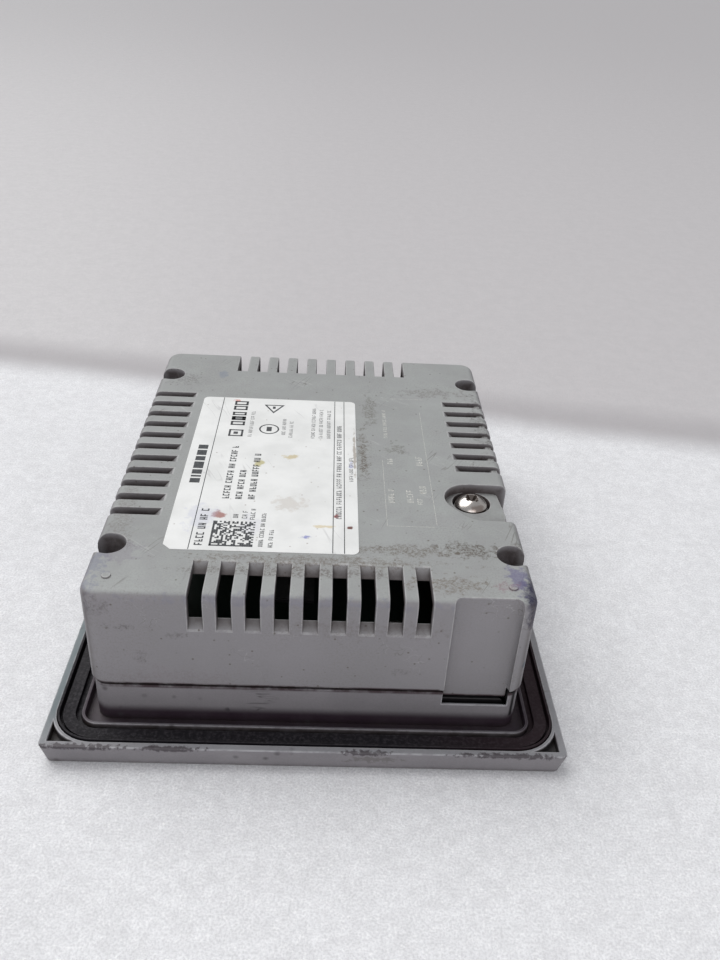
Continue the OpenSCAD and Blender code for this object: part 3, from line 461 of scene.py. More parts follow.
# Where tools and fingers have left dirt: centre, half size, raggedness, colour and strength.
# A negative strength is a smear of ink, which covers better than dirt does.
COVER_STAINS = [
    ((36, -41, 40), (8.5, 3.2, 3), 0.95, (0.07, 0.055, 0.04), 0.8),
    ((22, -41.5, 40), (14, 2.2, 2), 0.95, (0.11, 0.09, 0.07), 0.7),
    ((12.2, 1, 40), (1.8, 14, 2), 0.95, (0.09, 0.07, 0.05), 0.85),
    ((14.5, 26, 40), (2.2, 10, 2), 0.95, (0.10, 0.09, 0.07), 0.6),
    ((21.5, 4.5, 40), (3.4, 3.6, 2), 0.95, (0.09, 0.08, 0.06), 0.5),
    ((33, 38.5, 40), (11, 3.4, 2.5), 0.95, (0.12, 0.10, 0.09), 0.5),
    ((28, -53, 40), (11, 3.2, 1.5), 0.95, (0.13, 0.10, 0.075), 0.65),
    ((2, -46.5, 40), (30, 2.4, 1.2), 0.95, (0.13, 0.105, 0.085), 0.65),
    ((-4, -50.5, 40), (30, 2.2, 4.5), 0.5, (0.075, 0.052, 0.045), 0.6),
    ((-44.5, -30, 40), (3.0, 15, 1.5), 0.9, (0.15, 0.13, 0.12), 0.45),
    ((-42, -42, 34), (5.0, 5.0, 9.0), 0.5, (0.085, 0.055, 0.045), 0.5),
    ((45, -42, 34), (5.0, 5.0, 9.0), 0.5, (0.075, 0.055, 0.045), 0.55),
    ((47.9, -55.5, 38.2), (3.5, 7.6, 6.0), 0.33, (0.014, 0.012, 0.045), -0.98),
    ((45.0, -50.5, 40), (2.6, 5.5, 2.0), 0.7, (0.11, 0.10, 0.21), -0.7),
    ((47.6, -57.2, 34), (1.4, 2.4, 3.4), 0.6, (0.035, 0.030, 0.060), -0.8),
    ((48.2, -58.4, 22), (1.0, 1.6, 1.4), 0.6, (0.04, 0.085, 0.13), -0.7),
    ((42.0, -53.5, 40), (3.0, 2.4, 1.5), 0.8, (0.24, 0.14, 0.17), 0.5),
    ((-46.5, -50, 38), (3.0, 9.0, 5.0), 0.8, (0.15, 0.16, 0.24), -0.45),
    ((-42.0, -45, 40), (5.0, 5.0, 2.0), 0.8, (0.20, 0.18, 0.22), -0.4),
    ((-40, 41, 40), (5.0, 5.0, 2.0), 0.95, (0.13, 0.12, 0.12), 0.5),
    ((-30, 46, 40), (2.2, 2.6, 1.0), 0.7, (0.13, 0.17, 0.25), -0.4),
    ((12, -59.5, 32), (22, 2, 3.0), 0.9, (0.17, 0.15, 0.15), 0.4),
    ((-30, -59.5, 16), (16, 1, 3.5), 0.9, (0.20, 0.17, 0.18), 0.35),
    ((46, 22, 38.5), (3.2, 24, 3.0), 0.95, (0.07, 0.06, 0.055), 0.55),
    ((-4, -59, 38.8), (36, 1.8, 1.4), 0.8, (0.20, 0.20, 0.25), -0.5),
    ((-46, -59.5, 36), (5.0, 1.5, 3.0), 0.9, (0.13, 0.115, 0.12), 0.6),
    ((-40, -59.5, 31), (3.5, 1.0, 0.9), 0.95, (0.09, 0.08, 0.08), 0.6),
    ((-28, -59.5, 29), (3.0, 1.0, 1.1), 0.95, (0.11, 0.10, 0.10), 0.55),
    ((-36, -59.5, 22), (1.6, 1.0, 2.4), 0.95, (0.11, 0.10, 0.10), 0.5),
    ((20, -59.5, 20), (2.5, 1.0, 1.2), 0.95, (0.12, 0.11, 0.11), 0.4),
]
for centre, half, ragged, ink, strength in COVER_STAINS:
    spot = mask(tree, stain, Centre=in_mm(*centre), Size=in_mm(*half), Ragged=ragged, Scale=520.0)
    thinnest = 0.14 if strength > 0 else 0.8
    patches = ramp(tree, noise(tree, place(tree), 1300.0, 6.0, 0.8), 0.45, 0.57, thinnest, 1.0)
    share = times(tree, times(tree, spot, patches), abs(strength))
    colour = mix(tree, share, colour, (*ink, 1))
not_up = calc(tree, "SUBTRACT", 1.0, times(tree, up_facing, 0.92))
# Painted shade in concave places: ambient occlusion darkens every face that does not point up
hollow_shade = add(tree, "AmbientOcclusion", {"Distance": 4.5 * mm}, samples=6).outputs["AO"]
hollow_shade = times(tree, ramp(tree, hollow_shade, 0.92, 0.45, 0.0, 0.42), not_up)
colour = mix(tree, hollow_shade, colour, (0.105, 0.088, 0.084, 1))
# Painted shade, with some dirt, darkens with depth inside the vents and wells, but not in the shallow finger
# recess
FINGER_X = 37.8
within = mask(tree, boxed, Centre=in_mm(0, 1, 18), Half=in_mm(46.6, 58.7, 20.2), Soft=1.7 * mm)
finger = mask(tree, boxed, Centre=in_mm(FINGER_X, -58.5, 26), Half=in_mm(8.2, 2.2, 14), Soft=0.6 * mm)
away_from_finger = calc(tree, "SUBTRACT", 1.0, finger)
within = times(tree, times(tree, within, away_from_finger), not_up)
uneven = ramp(tree, noise(tree, place(tree), 380.0, 5.0, 0.7), 0.3, 0.6, 0.52, 0.82)
within = times(tree, within, uneven)
colour = mix(tree, within, colour, (0.045, 0.031, 0.029, 1))
# Grime and painted shade in the joint between the cover and the frame
height = add(tree, "SeparateXYZ", {0: place(tree)}).outputs["Z"]
seam = ramp(tree, noise(tree, place(tree), 260.0, 4.0), 0.3, 0.6, 0.35, 0.95)
seam = times(tree, seam, ramp(tree, height, 15.3 * mm, 14.8 * mm))
seam = times(tree, seam, away_from_finger)
colour = mix(tree, seam, colour, (0.035, 0.016, 0.022, 1))
# Dirt and painted shade in the tight corners
corners = mask(tree, corner_dirt_and_shade, Reach=1.4 * mm, Amount=0.55, Breakup=500.0)
colour = mix(tree, corners, colour, (0.075, 0.058, 0.052, 1))
# Painted shade far inside the vents and wells, from a wide ambient occlusion
deep_shade = add(tree, "AmbientOcclusion", {"Distance": 9 * mm}, samples=6).outputs["AO"]
deep_shade = times(tree, ramp(tree, deep_shade, 0.45, 0.1, 0.0, 0.6), not_up)
colour = mix(tree, deep_shade, colour, (0.036, 0.027, 0.026, 1))
tree.links.new(colour, shader.inputs["Base Color"])
tree.links.new(ramp(tree, grain["Tone"], 0.2, 0.8, 0.50, 0.66), shader.inputs["Roughness"])
shader.inputs["Specular IOR Level"].default_value = 0.42
bump(tree, shader, grain["Height"], 0.35, 0.06 * mm)

# %% Front frame plastic
frame_plastic, tree, shader = finish("frame_plastic")
grain = use(tree, moulded_grain, Scale=2200.0, Mottle=1.0)
up_facing = mask(tree, facing_up, Breakup=260.0)
# Painted light: the top is painted lighter and bluer than the darker, purpler sides
colour = mix(tree, up_facing, (0.256, 0.243, 0.256, 1), (0.285, 0.290, 0.305, 1))
colour = mix(tree, ramp(tree, grain["Tone"], 0.2, 0.85, 0.0, 0.5), colour, (0.13, 0.125, 0.135, 1))
# The collar is painted darker towards its foot
foot = mask(tree, boxed, Centre=in_mm(0, 1, 0), Half=in_mm(50.6, 62.6, 5.2), Soft=2.8 * mm)
foot = times(tree, foot, ramp(tree, noise(tree, place(tree), 160.0, 4.0), 0.2, 0.6, 0.92, 1.0))
colour = mix(tree, times(tree, foot, 0.97), colour, (0.026, 0.013, 0.023, 1))
teal = mask(tree, stain, Centre=in_mm(-57, -10, 5.8), Size=in_mm(2.6, 85, 2.4), Ragged=0.2, Scale=120.0)
colour = mix(tree, times(tree, teal, 0.7), colour, (0.10, 0.145, 0.155, 1))
edges = mask(tree, rubbed_edges, Amount=0.7, Breakup=380.0)
edges = times(tree, edges, calc(tree, "SUBTRACT", 1.0, times(tree, foot, 0.88)))
colour = mix(tree, edges, colour, (0.42, 0.42, 0.44, 1))
chips = mask(tree, specks, Scale=330.0, Size=0.34, Amount=0.75)
colour = mix(tree, chips, colour, (0.05, 0.045, 0.05, 1))
# Chips along the near edge, and painted shade in the four corner pockets
for chip_x, half in ((-50, 12), (-30, 8), (13, 6), (46, 14)):
    spot = mask(
        tree, stain, Centre=in_mm(chip_x, -69.9, 5.7), Size=in_mm(half, 1.0, 0.9),
        Ragged=0.9, Scale=900.0,
    )
    colour = mix(tree, times(tree, spot, 0.85), colour, (0.045, 0.035, 0.042, 1))
smear = mask(tree, stain, Centre=in_mm(15, -70, 3.2), Size=in_mm(6, 1, 2.2), Ragged=0.9, Scale=700.0)
colour = mix(tree, times(tree, smear, 0.5), colour, (0.09, 0.08, 0.07, 1))
# Painted shade: the four corner pockets are painted nearly black
for x, y in ((-54.0, -66.0), (54.0, -66.0), (-54.0, 66.0), (54.0, 66.0)):
    pocket = mask(tree, boxed, Centre=in_mm(x, y, 4.2), Half=in_mm(2.5, 2.5, 0.95), Soft=0.35 * mm)
    colour = mix(tree, times(tree, pocket, 0.88), colour, (0.016, 0.015, 0.018, 1))
# Grime and painted shade in the same joint, on the frame's side of it
height = add(tree, "SeparateXYZ", {0: place(tree)}).outputs["Z"]
seam = ramp(tree, noise(tree, place(tree), 260.0, 4.0), 0.3, 0.6, 0.3, 0.95)
seam = times(tree, seam, ramp(tree, height, 12.7 * mm, 13.3 * mm))
colour = mix(tree, seam, colour, (0.035, 0.016, 0.022, 1))
scored = mask(tree, scuffs, Turn=1.5, Scale=300.0, Amount=0.7)
colour = mix(tree, scored, colour, (0.06, 0.055, 0.06, 1))
# Dirt and painted shade in the tight corners
corners = mask(tree, corner_dirt_and_shade, Reach=2.2 * mm, Amount=0.75, Breakup=420.0)
colour = mix(tree, corners, colour, GRIME_AND_SHADE)
# The labelling-strip slot under the recess is painted dark all the way in: painted shade, with some dirt
slot_dark = mask(tree, boxed, Centre=in_mm(FINGER_X, -53.2, 10), Half=in_mm(9, 5.2, 3.55), Soft=0.3 * mm)
colour = mix(tree, times(tree, slot_dark, 0.96), colour, (0.006, 0.005, 0.006, 1))
tree.links.new(colour, shader.inputs["Base Color"])
tree.links.new(ramp(tree, grain["Tone"], 0.2, 0.8, 0.42, 0.6), shader.inputs["Roughness"])
shader.inputs["Specular IOR Level"].default_value = 0.45
bump(tree, shader, grain["Height"], 0.3, 0.06 * mm)

# %% Seal rubber with a dusty band
seal_rubber, tree, shader = finish("seal_rubber")
grain = use(tree, moulded_grain, Scale=1500.0, Mottle=1.0)
up_facing = mask(tree, facing_up, Breakup=500.0)
powder = ramp(tree, noise(tree, place(tree), 1300.0, 5.0, 0.7), 0.44, 0.66)
band = times(tree, times(tree, up_facing, powder), 0.2)
colour = mix(tree, band, (0.0055, 0.0045, 0.007, 1), (0.15, 0.14, 0.155, 1))
warm = ramp(tree, add(tree, "SeparateXYZ", {0: place(tree)}).outputs["X"], 15 * mm, 55 * mm, 0.0, 0.5)
colour = mix(tree, warm, colour, (0.026, 0.009, 0.013, 1))
edges = mask(tree, rubbed_edges, Amount=0.12, Breakup=600.0)
colour = mix(tree, edges, colour, (0.11, 0.105, 0.11, 1))
tree.links.new(colour, shader.inputs["Base Color"])
tree.links.new(ramp(tree, grain["Tone"], 0.2, 0.8, 0.42, 0.7), shader.inputs["Roughness"])
shader.inputs["Specular IOR Level"].default_value = 0.22
bump(tree, shader, grain["Height"], 0.4, 0.08 * mm)

# %% Label film with stains
label_film, tree, shader = finish("label_film")
blotch = noise(tree, place(tree), 110.0, 4.0)
colour = mix(tree, ramp(tree, blotch, 0.3, 0.7), (0.80, 0.81, 0.80, 1), (0.70, 0.71, 0.70, 1))
dots = mask(tree, specks, Scale=520.0, Size=0.16, Amount=0.55)
colour = mix(tree, dots, colour, (0.22, 0.16, 0.12, 1))
faint = mask(tree, scuffs, Turn=-0.4, Scale=230.0, Amount=0.35)
colour = mix(tree, faint, colour, (0.36, 0.35, 0.36, 1))
# Stains on the label: centre, half size, colour and strength
LABEL_STAINS = [
    ((-1.6, -37.4), (1.8, 1.1), (0.16, 0.18, 0.48), 0.8),
    ((-7.0, -2.2), (2.0, 1.3), (0.52, 0.42, 0.20), 0.7),
    ((2.0, -33.2), (3.0, 0.7), (0.60, 0.48, 0.24), 0.6),
    ((-6.0, -24.0), (5.0, 3.5), (0.46, 0.40, 0.34), 0.35),
    ((-15.0, -6.0), (1.4, 2.2), (0.45, 0.40, 0.14), 0.75),
    ((5.2, -29.0), (1.3, 1.1), (0.20, 0.03, 0.03), 0.95),
    ((8.3, -33.5), (0.8, 0.7), (0.12, 0.03, 0.02), 0.95),
    ((8.9, -6.0), (0.7, 2.2), (0.25, 0.28, 0.60), 0.5),
    ((-24.0, 29.0), (1.4, 1.2), (0.55, 0.12, 0.08), 0.75),
    ((-22.0, -29.8), (2.2, 1.5), (0.32, 0.12, 0.10), 0.85),
    ((-27.0, -31.0), (4.0, 6.0), (0.50, 0.52, 0.66), 0.35),
    ((-15.0, -34.0), (3.0, 5.0), (0.55, 0.55, 0.64), 0.3),
    ((9.8, 0.0), (0.5, 14.0), (0.20, 0.15, 0.10), 0.6),
]
for (x, y), (half_x, half_y), ink, strength in LABEL_STAINS:
    spot = mask(
        tree, stain, Centre=in_mm(x, y, 40.1), Size=in_mm(half_x, half_y, 1),
        Ragged=0.75, Scale=420.0,
    )
    colour = mix(tree, times(tree, spot, strength), colour, (*ink, 1))
tree.links.new(colour, shader.inputs["Base Color"])
tree.links.new(ramp(tree, blotch, 0.2, 0.8, 0.38, 0.55), shader.inputs["Roughness"])
shader.inputs["Specular IOR Level"].default_value = 0.4
bump(tree, shader, noise(tree, place(tree), 900.0, 3.0), 0.15, 0.03 * mm)

# %% Printing inks
def printing_ink(name, colour, worn, roughness):
    """Ink that has worn thin in places, over a finish of nearly its own colour."""
    material, tree, shader = finish(name)
    thin = ramp(tree, noise(tree, place(tree), 1700.0, 4.0), 0.42, 0.6)
    tree.links.new(mix(tree, thin, (*colour, 1), (*worn, 1)), shader.inputs["Base Color"])
    tree.links.new(ramp(tree, thin, 0.0, 1.0, roughness, roughness + 0.15), shader.inputs["Roughness"])
    bump(tree, shader, thin, 0.1, 0.01 * mm)
    return material


label_ink = printing_ink("label_ink", (0.022, 0.026, 0.030), (0.065, 0.07, 0.075), 0.5)
grey_ink = printing_ink("grey_ink", (0.085, 0.09, 0.095), (0.22, 0.22, 0.22), 0.5)
pad_ink = printing_ink("pad_ink", (0.58, 0.58, 0.54), (0.38, 0.39, 0.37), 0.55)
print("housing finishes ready")

# %% Metals
def metal(name, colour, roughness, smears, dirt, reach=0.7):
    """A plated metal: fine turning marks, dull smears, and brown dirt with painted shade in its corners."""
    material, tree, shader = finish(name)
    smear = noise(tree, place(tree), smears, 4.0)
    marks = noise(tree, place(tree), 5200.0, 2.0)
    tone = mix(tree, ramp(tree, smear, 0.3, 0.75), (*colour, 1), shade(colour, 0.72))
    corners = mask(tree, corner_dirt_and_shade, Reach=reach * mm, Amount=dirt, Breakup=900.0)
    tree.links.new(mix(tree, corners, tone, (0.055, 0.034, 0.024, 1)), shader.inputs["Base Color"])
    clean = calc(tree, "SUBTRACT", 1.0, times(tree, corners, 0.7))
    tree.links.new(clean, shader.inputs["Metallic"])
    tree.links.new(ramp(tree, smear, 0.2, 0.8, roughness, roughness + 0.16), shader.inputs["Roughness"])
    bump(tree, shader, marks, 0.12, 0.02 * mm)
    return material


nickel = metal("nickel_plate", (0.72, 0.68, 0.64), 0.13, 500.0, 1.0, 1.0)
zinc = metal("zinc_plate", (0.55, 0.55, 0.54), 0.32, 700.0, 0.8)
dark_steel = metal("dark_steel", (0.16, 0.13, 0.115), 0.45, 900.0, 0.9)
bright_tin = metal("bright_tin", (0.68, 0.69, 0.70), 0.24, 260.0, 0.4)
sheet_steel = metal("sheet_steel", (0.60, 0.61, 0.62), 0.35, 150.0, 0.3)
brass = metal("brass", (0.74, 0.60, 0.32), 0.28, 400.0, 0.4)
gold_flash = metal("gold_flash", (0.90, 0.68, 0.28), 0.2, 400.0, 0.3)

# %% Painted shade with dirt in the earth screw's recess, and a brown mark on its near side
tree = nickel.node_tree
shader = tree.nodes["Principled BSDF"]
clean_metal = shader.inputs["Base Color"].links[0].from_socket
metallic = shader.inputs["Metallic"].links[0].from_socket
screw_x, screw_y = 39.1 * mm, -17.1 * mm
cap_centre, cap_r = 34.35 * mm, 5.0 * mm
from_cap = add(tree, "VectorMath", {0: place(tree), 1: (screw_x, screw_y, cap_centre)}, operation="DISTANCE")
sunk = ramp(tree, from_cap.outputs["Value"], cap_r - 0.06 * mm, cap_r - 0.22 * mm)
driver_box = mask(
    tree, boxed, Centre=(screw_x, screw_y, 38.5 * mm), Half=in_mm(2.3, 2.3, 1.6), Soft=0.2 * mm
)
# The cross recess is painted dark and made less metallic: painted shade, with dirt
recess = times(tree, sunk, driver_box)
near_side = mask(
    tree, stain, Centre=(screw_x + 1.2 * mm, screw_y - 3.2 * mm, 37.6 * mm),
    Size=in_mm(2.8, 1.5, 1.3), Ragged=0.5, Scale=500.0,
)
colour = mix(tree, times(tree, near_side, 0.55), clean_metal, (0.20, 0.12, 0.085, 1))
colour = mix(tree, times(tree, recess, 0.92), colour, (0.05, 0.035, 0.027, 1))
tree.links.new(colour, shader.inputs["Base Color"])
bare = calc(tree, "SUBTRACT", 1.0, times(tree, recess, 0.85))
tree.links.new(times(tree, metallic, bare), shader.inputs["Metallic"])

# %% Plastics and boards inside
def plain_plastic(name, colour, roughness, grain_scale=2400.0, dust=0.15, coat=0.0):
    """A moulded or printed plastic with a grain, a little tone and settled dust."""
    material, tree, shader = finish(name)
    grain = use(tree, moulded_grain, Scale=grain_scale, Mottle=0.9)
    tone = mix(tree, ramp(tree, grain["Tone"], 0.2, 0.8), shade(colour, 1.12), shade(colour, 0.85))
    up_facing = mask(tree, facing_up, Breakup=700.0)
    tone = mix(tree, times(tree, up_facing, dust), tone, shade(DUST, 0.6))
    edges = mask(tree, rubbed_edges, Amount=0.35)
    tree.links.new(mix(tree, edges, tone, shade(colour, 1.5)), shader.inputs["Base Color"])
    rough = ramp(tree, grain["Tone"], 0.2, 0.8, roughness, roughness + 0.12)
    tree.links.new(rough, shader.inputs["Roughness"])
    shader.inputs["Coat Weight"].default_value = coat
    bump(tree, shader, grain["Height"], 0.25, 0.05 * mm)
    return material


black_plastic = plain_plastic("black_plastic", (0.020, 0.020, 0.021), 0.42)
white_plastic = plain_plastic("white_plastic", (0.78, 0.78, 0.76), 0.45)
solder_mask = plain_plastic("solder_mask", (0.004, 0.014, 0.009), 0.4, 900.0, 0.02, 0.1)
chip_black = plain_plastic("chip_black", (0.022, 0.022, 0.024), 0.5)
capacitor_sleeve = plain_plastic("capacitor_sleeve", (0.05, 0.09, 0.24), 0.3)
ferrite = plain_plastic("ferrite", (0.05, 0.05, 0.05), 0.6)
ribbon_film = plain_plastic("ribbon_film", (0.66, 0.58, 0.42), 0.35)
front_print = plain_plastic("front_print", (0.055, 0.062, 0.070), 0.40, 3000.0, 0.0)
key_print = plain_plastic("key_print", (0.56, 0.57, 0.56), 0.42, 3000.0, 0.0)
lettering_ink = plain_plastic("lettering_ink", (0.06, 0.065, 0.07), 0.45)
line_ink = plain_plastic("line_ink", (0.50, 0.52, 0.53), 0.45)

# %% Display glass
display_glass, tree, shader = finish("display_glass")
smudge = noise(tree, place(tree), 60.0, 5.0, 0.6)
fine_wipe = mask(tree, scuffs, Turn=0.3, Scale=420.0, Amount=0.5)
colour = mix(tree, ramp(tree, smudge, 0.35, 0.75), (0.012, 0.014, 0.017, 1), (0.020, 0.022, 0.026, 1))
tree.links.new(mix(tree, fine_wipe, colour, (0.06, 0.06, 0.065, 1)), shader.inputs["Base Color"])
tree.links.new(ramp(tree, smudge, 0.3, 0.8, 0.06, 0.22), shader.inputs["Roughness"])
shader.inputs["Coat Weight"].default_value = 0.6
shader.inputs["Coat Roughness"].default_value = 0.05
print("materials:", len(bpy.data.materials))

# %% Floor
floor_foam, tree, shader = finish("floor_foam")
spot = add(tree, "SeparateXYZ", {0: place(tree)}).outputs
# The seam between the sheet that the panel lies on and the one behind it
past_seam = calc(tree, "ADD", spot["Y"], times(tree, spot["X"], 0.175))
wobble = times(tree, calc(tree, "SUBTRACT", noise(tree, place(tree), 35.0, 2.0), 0.5), 5 * mm)
past_seam = calc(tree, "ADD", past_seam, wobble)
cloud = noise(tree, place(tree), 12.0, 3.0)
near_tone = mix(tree, ramp(tree, cloud, 0.3, 0.7), (0.885, 0.895, 0.915, 1), (0.855, 0.865, 0.885, 1))
leftward = calc(tree, "DIVIDE", spot["X"], calc(tree, "ADD", calc(tree, "ABSOLUTE", spot["Y"]), 0.2))
far_tone = mix(tree, ramp(tree, leftward, 0.05, -0.38), (0.575, 0.555, 0.562, 1), (0.665, 0.65, 0.655, 1))
colour = mix(tree, ramp(tree, past_seam, 98 * mm, 119 * mm), near_tone, (0.44, 0.42, 0.43, 1))
colour = mix(tree, ramp(tree, past_seam, 119 * mm, 142 * mm), colour, far_tone)
beads = noise(tree, place(tree), 1900.0, 4.0, 0.75)
clumps = noise(tree, place(tree), 420.0, 3.0, 0.6)
coarse = noise(tree, place(tree), 130.0, 6.0, 0.85)
colour = mix(tree, ramp(tree, beads, 0.36, 0.58, 0.42, 0.0), colour, (0.44, 0.44, 0.46, 1))
colour = mix(tree, ramp(tree, clumps, 0.3, 0.7, 0.20, 0.0), colour, (0.48, 0.48, 0.50, 1))
colour = mix(tree, ramp(tree, coarse, 0.38, 0.62, 0.13, 0.0), colour, (0.36, 0.35, 0.36, 1))
glint = times(tree, ramp(tree, beads, 0.56, 0.68), ramp(tree, clumps, 0.42, 0.6, 0.2, 1.0))
glint = times(tree, glint, ramp(tree, past_seam, 119 * mm, 98 * mm, 0.1, 0.95))
colour = mix(tree, glint, colour, (1.0, 1.0, 1.0, 1))
tree.links.new(colour, shader.inputs["Base Color"])
shader.inputs["Roughness"].default_value = 0.62
relief = calc(tree, "ADD", beads, times(tree, clumps, 0.8))
bump(tree, shader, relief, 0.6, 0.3 * mm)
bpy.ops.mesh.primitive_plane_add(size=8)
floor = fresh("floor")
floor.data.materials.append(floor_foam)
floor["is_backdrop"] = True
print("floor laid at z 0")

# %% [markdown]
# ## Housing and seal
# A moulding never has a knife edge. The CAD shapes are right but sharp, so merged copies of them get a
# small bevel on every outer edge, which catches the light and carries the pale rub marks.

# %% Rear cover, front frame and seal
label_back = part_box("rating_label")[0].z
# Where a bevel would run over its neighbours: both ends of the finger recess
KEPT_SHARP = {"rear_cover": [((29, -58, 14), (46.5, -57, 15.2)), ((42.5, -60, 37.5), (46.5, -57, 40.1))]}
for node, name, width, slot, material in (
    ("rear_cover", "rear_cover_shell", 0.30, "cover_plastic", cover_plastic),
    ("front_frame", "front_frame_moulding", 0.28, "frame_plastic", frame_plastic),
    ("mounting_gasket", "door_seal", 0.16, "seal_rubber", seal_rubber),
):
    moulding = softened_copy(node, name, width * mm, keep=KEPT_SHARP.get(node, ()), top=label_back)
    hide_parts(node)
    settle(moulding, "panel", material)

# %% [markdown]
# ## Screws
# The earth screw is the one bright thing on the back. Its head is the cap of a sphere on a short rim,
# its cross recess tapers to a point, and its thread shows when it is backed out. The four housing
# screws have the same form, smaller and dark.

# %% Shaping in edit mode
def edit_all(piece):
    """Opens a piece for editing with everything selected."""
    only(piece)
    bpy.ops.object.mode_set(mode="EDIT")
    bpy.ops.mesh.select_all(action="SELECT")


def cross_driver(axis, top, span, width, depth, turn):
    """The tip of a cross driver: two blades that taper, joined on a pointed core."""
    x, y = axis
    bpy.ops.object.select_all(action="DESELECT")
    bpy.ops.mesh.primitive_cone_add(
        vertices=24, radius1=0.1 * span, radius2=0.42 * span, depth=1.25 * depth,
        location=(x, y, top - depth * 0.425),
    )
    tip = fresh("cross_driver")
    for quarter in (0, 90):
        bpy.ops.object.select_all(action="DESELECT")
        bpy.ops.mesh.primitive_cube_add(
            size=1, location=(x, y, top), scale=(span, width, 2 * depth),
            rotation=(0, 0, math.radians(turn + quarter)),
        )
        blade = fresh("blade")
        only(blade)
        bpy.ops.object.mode_set(mode="EDIT")
        bpy.ops.mesh.select_all(action="DESELECT")
        shape = bmesh.from_edit_mesh(blade.data)
        for corner in shape.verts:
            corner.select = corner.co.z < top
        shape.select_flush(True)
        bmesh.update_edit_mesh(blade.data)
        bpy.ops.transform.resize(value=(0.62, 0.62, 1), center_override=(x, y, top))
        bpy.ops.object.mode_set(mode="OBJECT")
        apply_modifier(tip, "BOOLEAN", operation="UNION", object=blade, solver="EXACT")
        bpy.data.objects.remove(blade)
    return tip


def pan_head_screw(name, axis, seat, head, thread, crown, turn):
    """A screw with head = (radius, height) on its seat and thread = (radius, length, pitch) below it."""
    (x, y), (head_r, head_h), (thread_r, length, pitch) = axis, head, thread
    top = seat + head_h
    rim = top - crown + math.sqrt(crown**2 - head_r**2)
    bpy.ops.object.select_all(action="DESELECT")
    bpy.ops.mesh.primitive_uv_sphere_add(
        segments=64, ring_count=64, radius=crown, location=(x, y, top - crown)
    )
    screw = fresh(name)
    edit_all(screw)
    bpy.ops.mesh.bisect(plane_co=(x, y, rim), plane_no=(0, 0, 1), clear_inner=True, use_fill=True)
    bpy.ops.mesh.extrude_region_move(TRANSFORM_OT_translate={"value": (0, 0, seat - rim)})
    bpy.ops.mesh.inset(thickness=head_r - thread_r)
    for half_turn in range(int(2 * length / pitch)):
        swell = 0.86 if half_turn % 2 == 0 else 1 / 0.86
        bpy.ops.mesh.extrude_region_move(TRANSFORM_OT_translate={"value": (0, 0, -pitch / 2)})
        bpy.ops.transform.resize(value=(swell, swell, 1), center_override=(x, y, seat))
    bpy.ops.object.mode_set(mode="OBJECT")
    driver = cross_driver(axis, top, 1.24 * head_r, 0.29 * head_r, 0.5 * head_h, turn)
    apply_modifier(screw, "BOOLEAN", operation="DIFFERENCE", object=driver, solver="EXACT")
    bpy.data.objects.remove(driver)
    apply_modifier(
        screw, "BEVEL", limit_method="ANGLE", angle_limit=math.radians(38),
        width=0.05 * head_r, segments=2, use_clamp_overlap=True,
    )
    smooth(screw, 30)
    return screw


# %% Earth screw and its washer
def middle(node):
    """The middle of a CAD node's box, seen from above."""
    low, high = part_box(node)
    return (low.x + high.x) / 2, (low.y + high.y) / 2


screw_low, screw_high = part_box("ground_screw")
head_r = (screw_high.x - screw_low.x) / 2
head_h = 3.1 * mm
earth_screw = pan_head_screw(
    "earth_screw", middle("ground_screw"), screw_high.z - head_h, (head_r, head_h),
    (2.0 * mm, screw_high.z - head_h - screw_low.z, 0.7 * mm), cap_r, 42,
)
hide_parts("ground_screw")
settle(earth_screw, "earth_screw", nickel)
washer = softened_copy("ground_washer", "earth_washer_ring", 0.15 * mm)
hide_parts("ground_washer")
settle(washer, "earth_washer", zinc)

# %% Four housing screws: one is modelled, and the others are its copies
low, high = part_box("cover_screws")
m3_head = (2.7 * mm, 2.2 * mm)
inset_x, inset_y = low.x + m3_head[0], low.y + m3_head[0]
first = pan_head_screw(
    "housing_screw_1", (inset_x, inset_y), high.z - m3_head[1], m3_head,
    (1.5 * mm, high.z - m3_head[1] - low.z, 0.5 * mm), 4.4 * mm, 30,
)
across = high.x - low.x - 2 * m3_head[0]
along = high.y - low.y - 2 * m3_head[0]
housing_screws = [first]
for number, (dx, dy) in enumerate(((across, 0), (0, along), (across, along)), 2):
    only(first)
    bpy.ops.object.duplicate()
    bpy.ops.transform.translate(value=(dx, dy, 0))
    housing_screws.append(fresh(f"housing_screw_{number}"))
for screw in housing_screws:
    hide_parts("cover_screws")
    settle(screw, "panel", dark_steel)

# %% [markdown]
# ## Printing
# The label and the pad printing are thin films of ink. Real words are left out: each row is a run of
# small strokes that spell nothing, and the marks are plain shapes. They are laid as very thin solids,
# so that they keep crisp edges.

# %% Strokes of ink
def ink_piece(name, strokes, base, thick, material, body="panel"):
    """One mesh of thin boxes. A stroke is (x0, y0, x1, y1) in mm, and base is where the ink starts."""
    shape = bmesh.new()
    for x0, y0, x1, y1 in strokes:
        size = Vector((abs(x1 - x0) * mm, abs(y1 - y0) * mm, thick))
        centre = Vector(((x0 + x1) / 2 * mm, (y0 + y1) / 2 * mm, base + thick / 2))
        bmesh.ops.create_cube(shape, size=1, matrix=Matrix.LocRotScale(centre, None, size))
    mesh = bpy.data.meshes.new(name)
    shape.to_mesh(mesh)
    shape.free()
    piece = linked(name, mesh)
    settle(piece, body, material)
    return piece


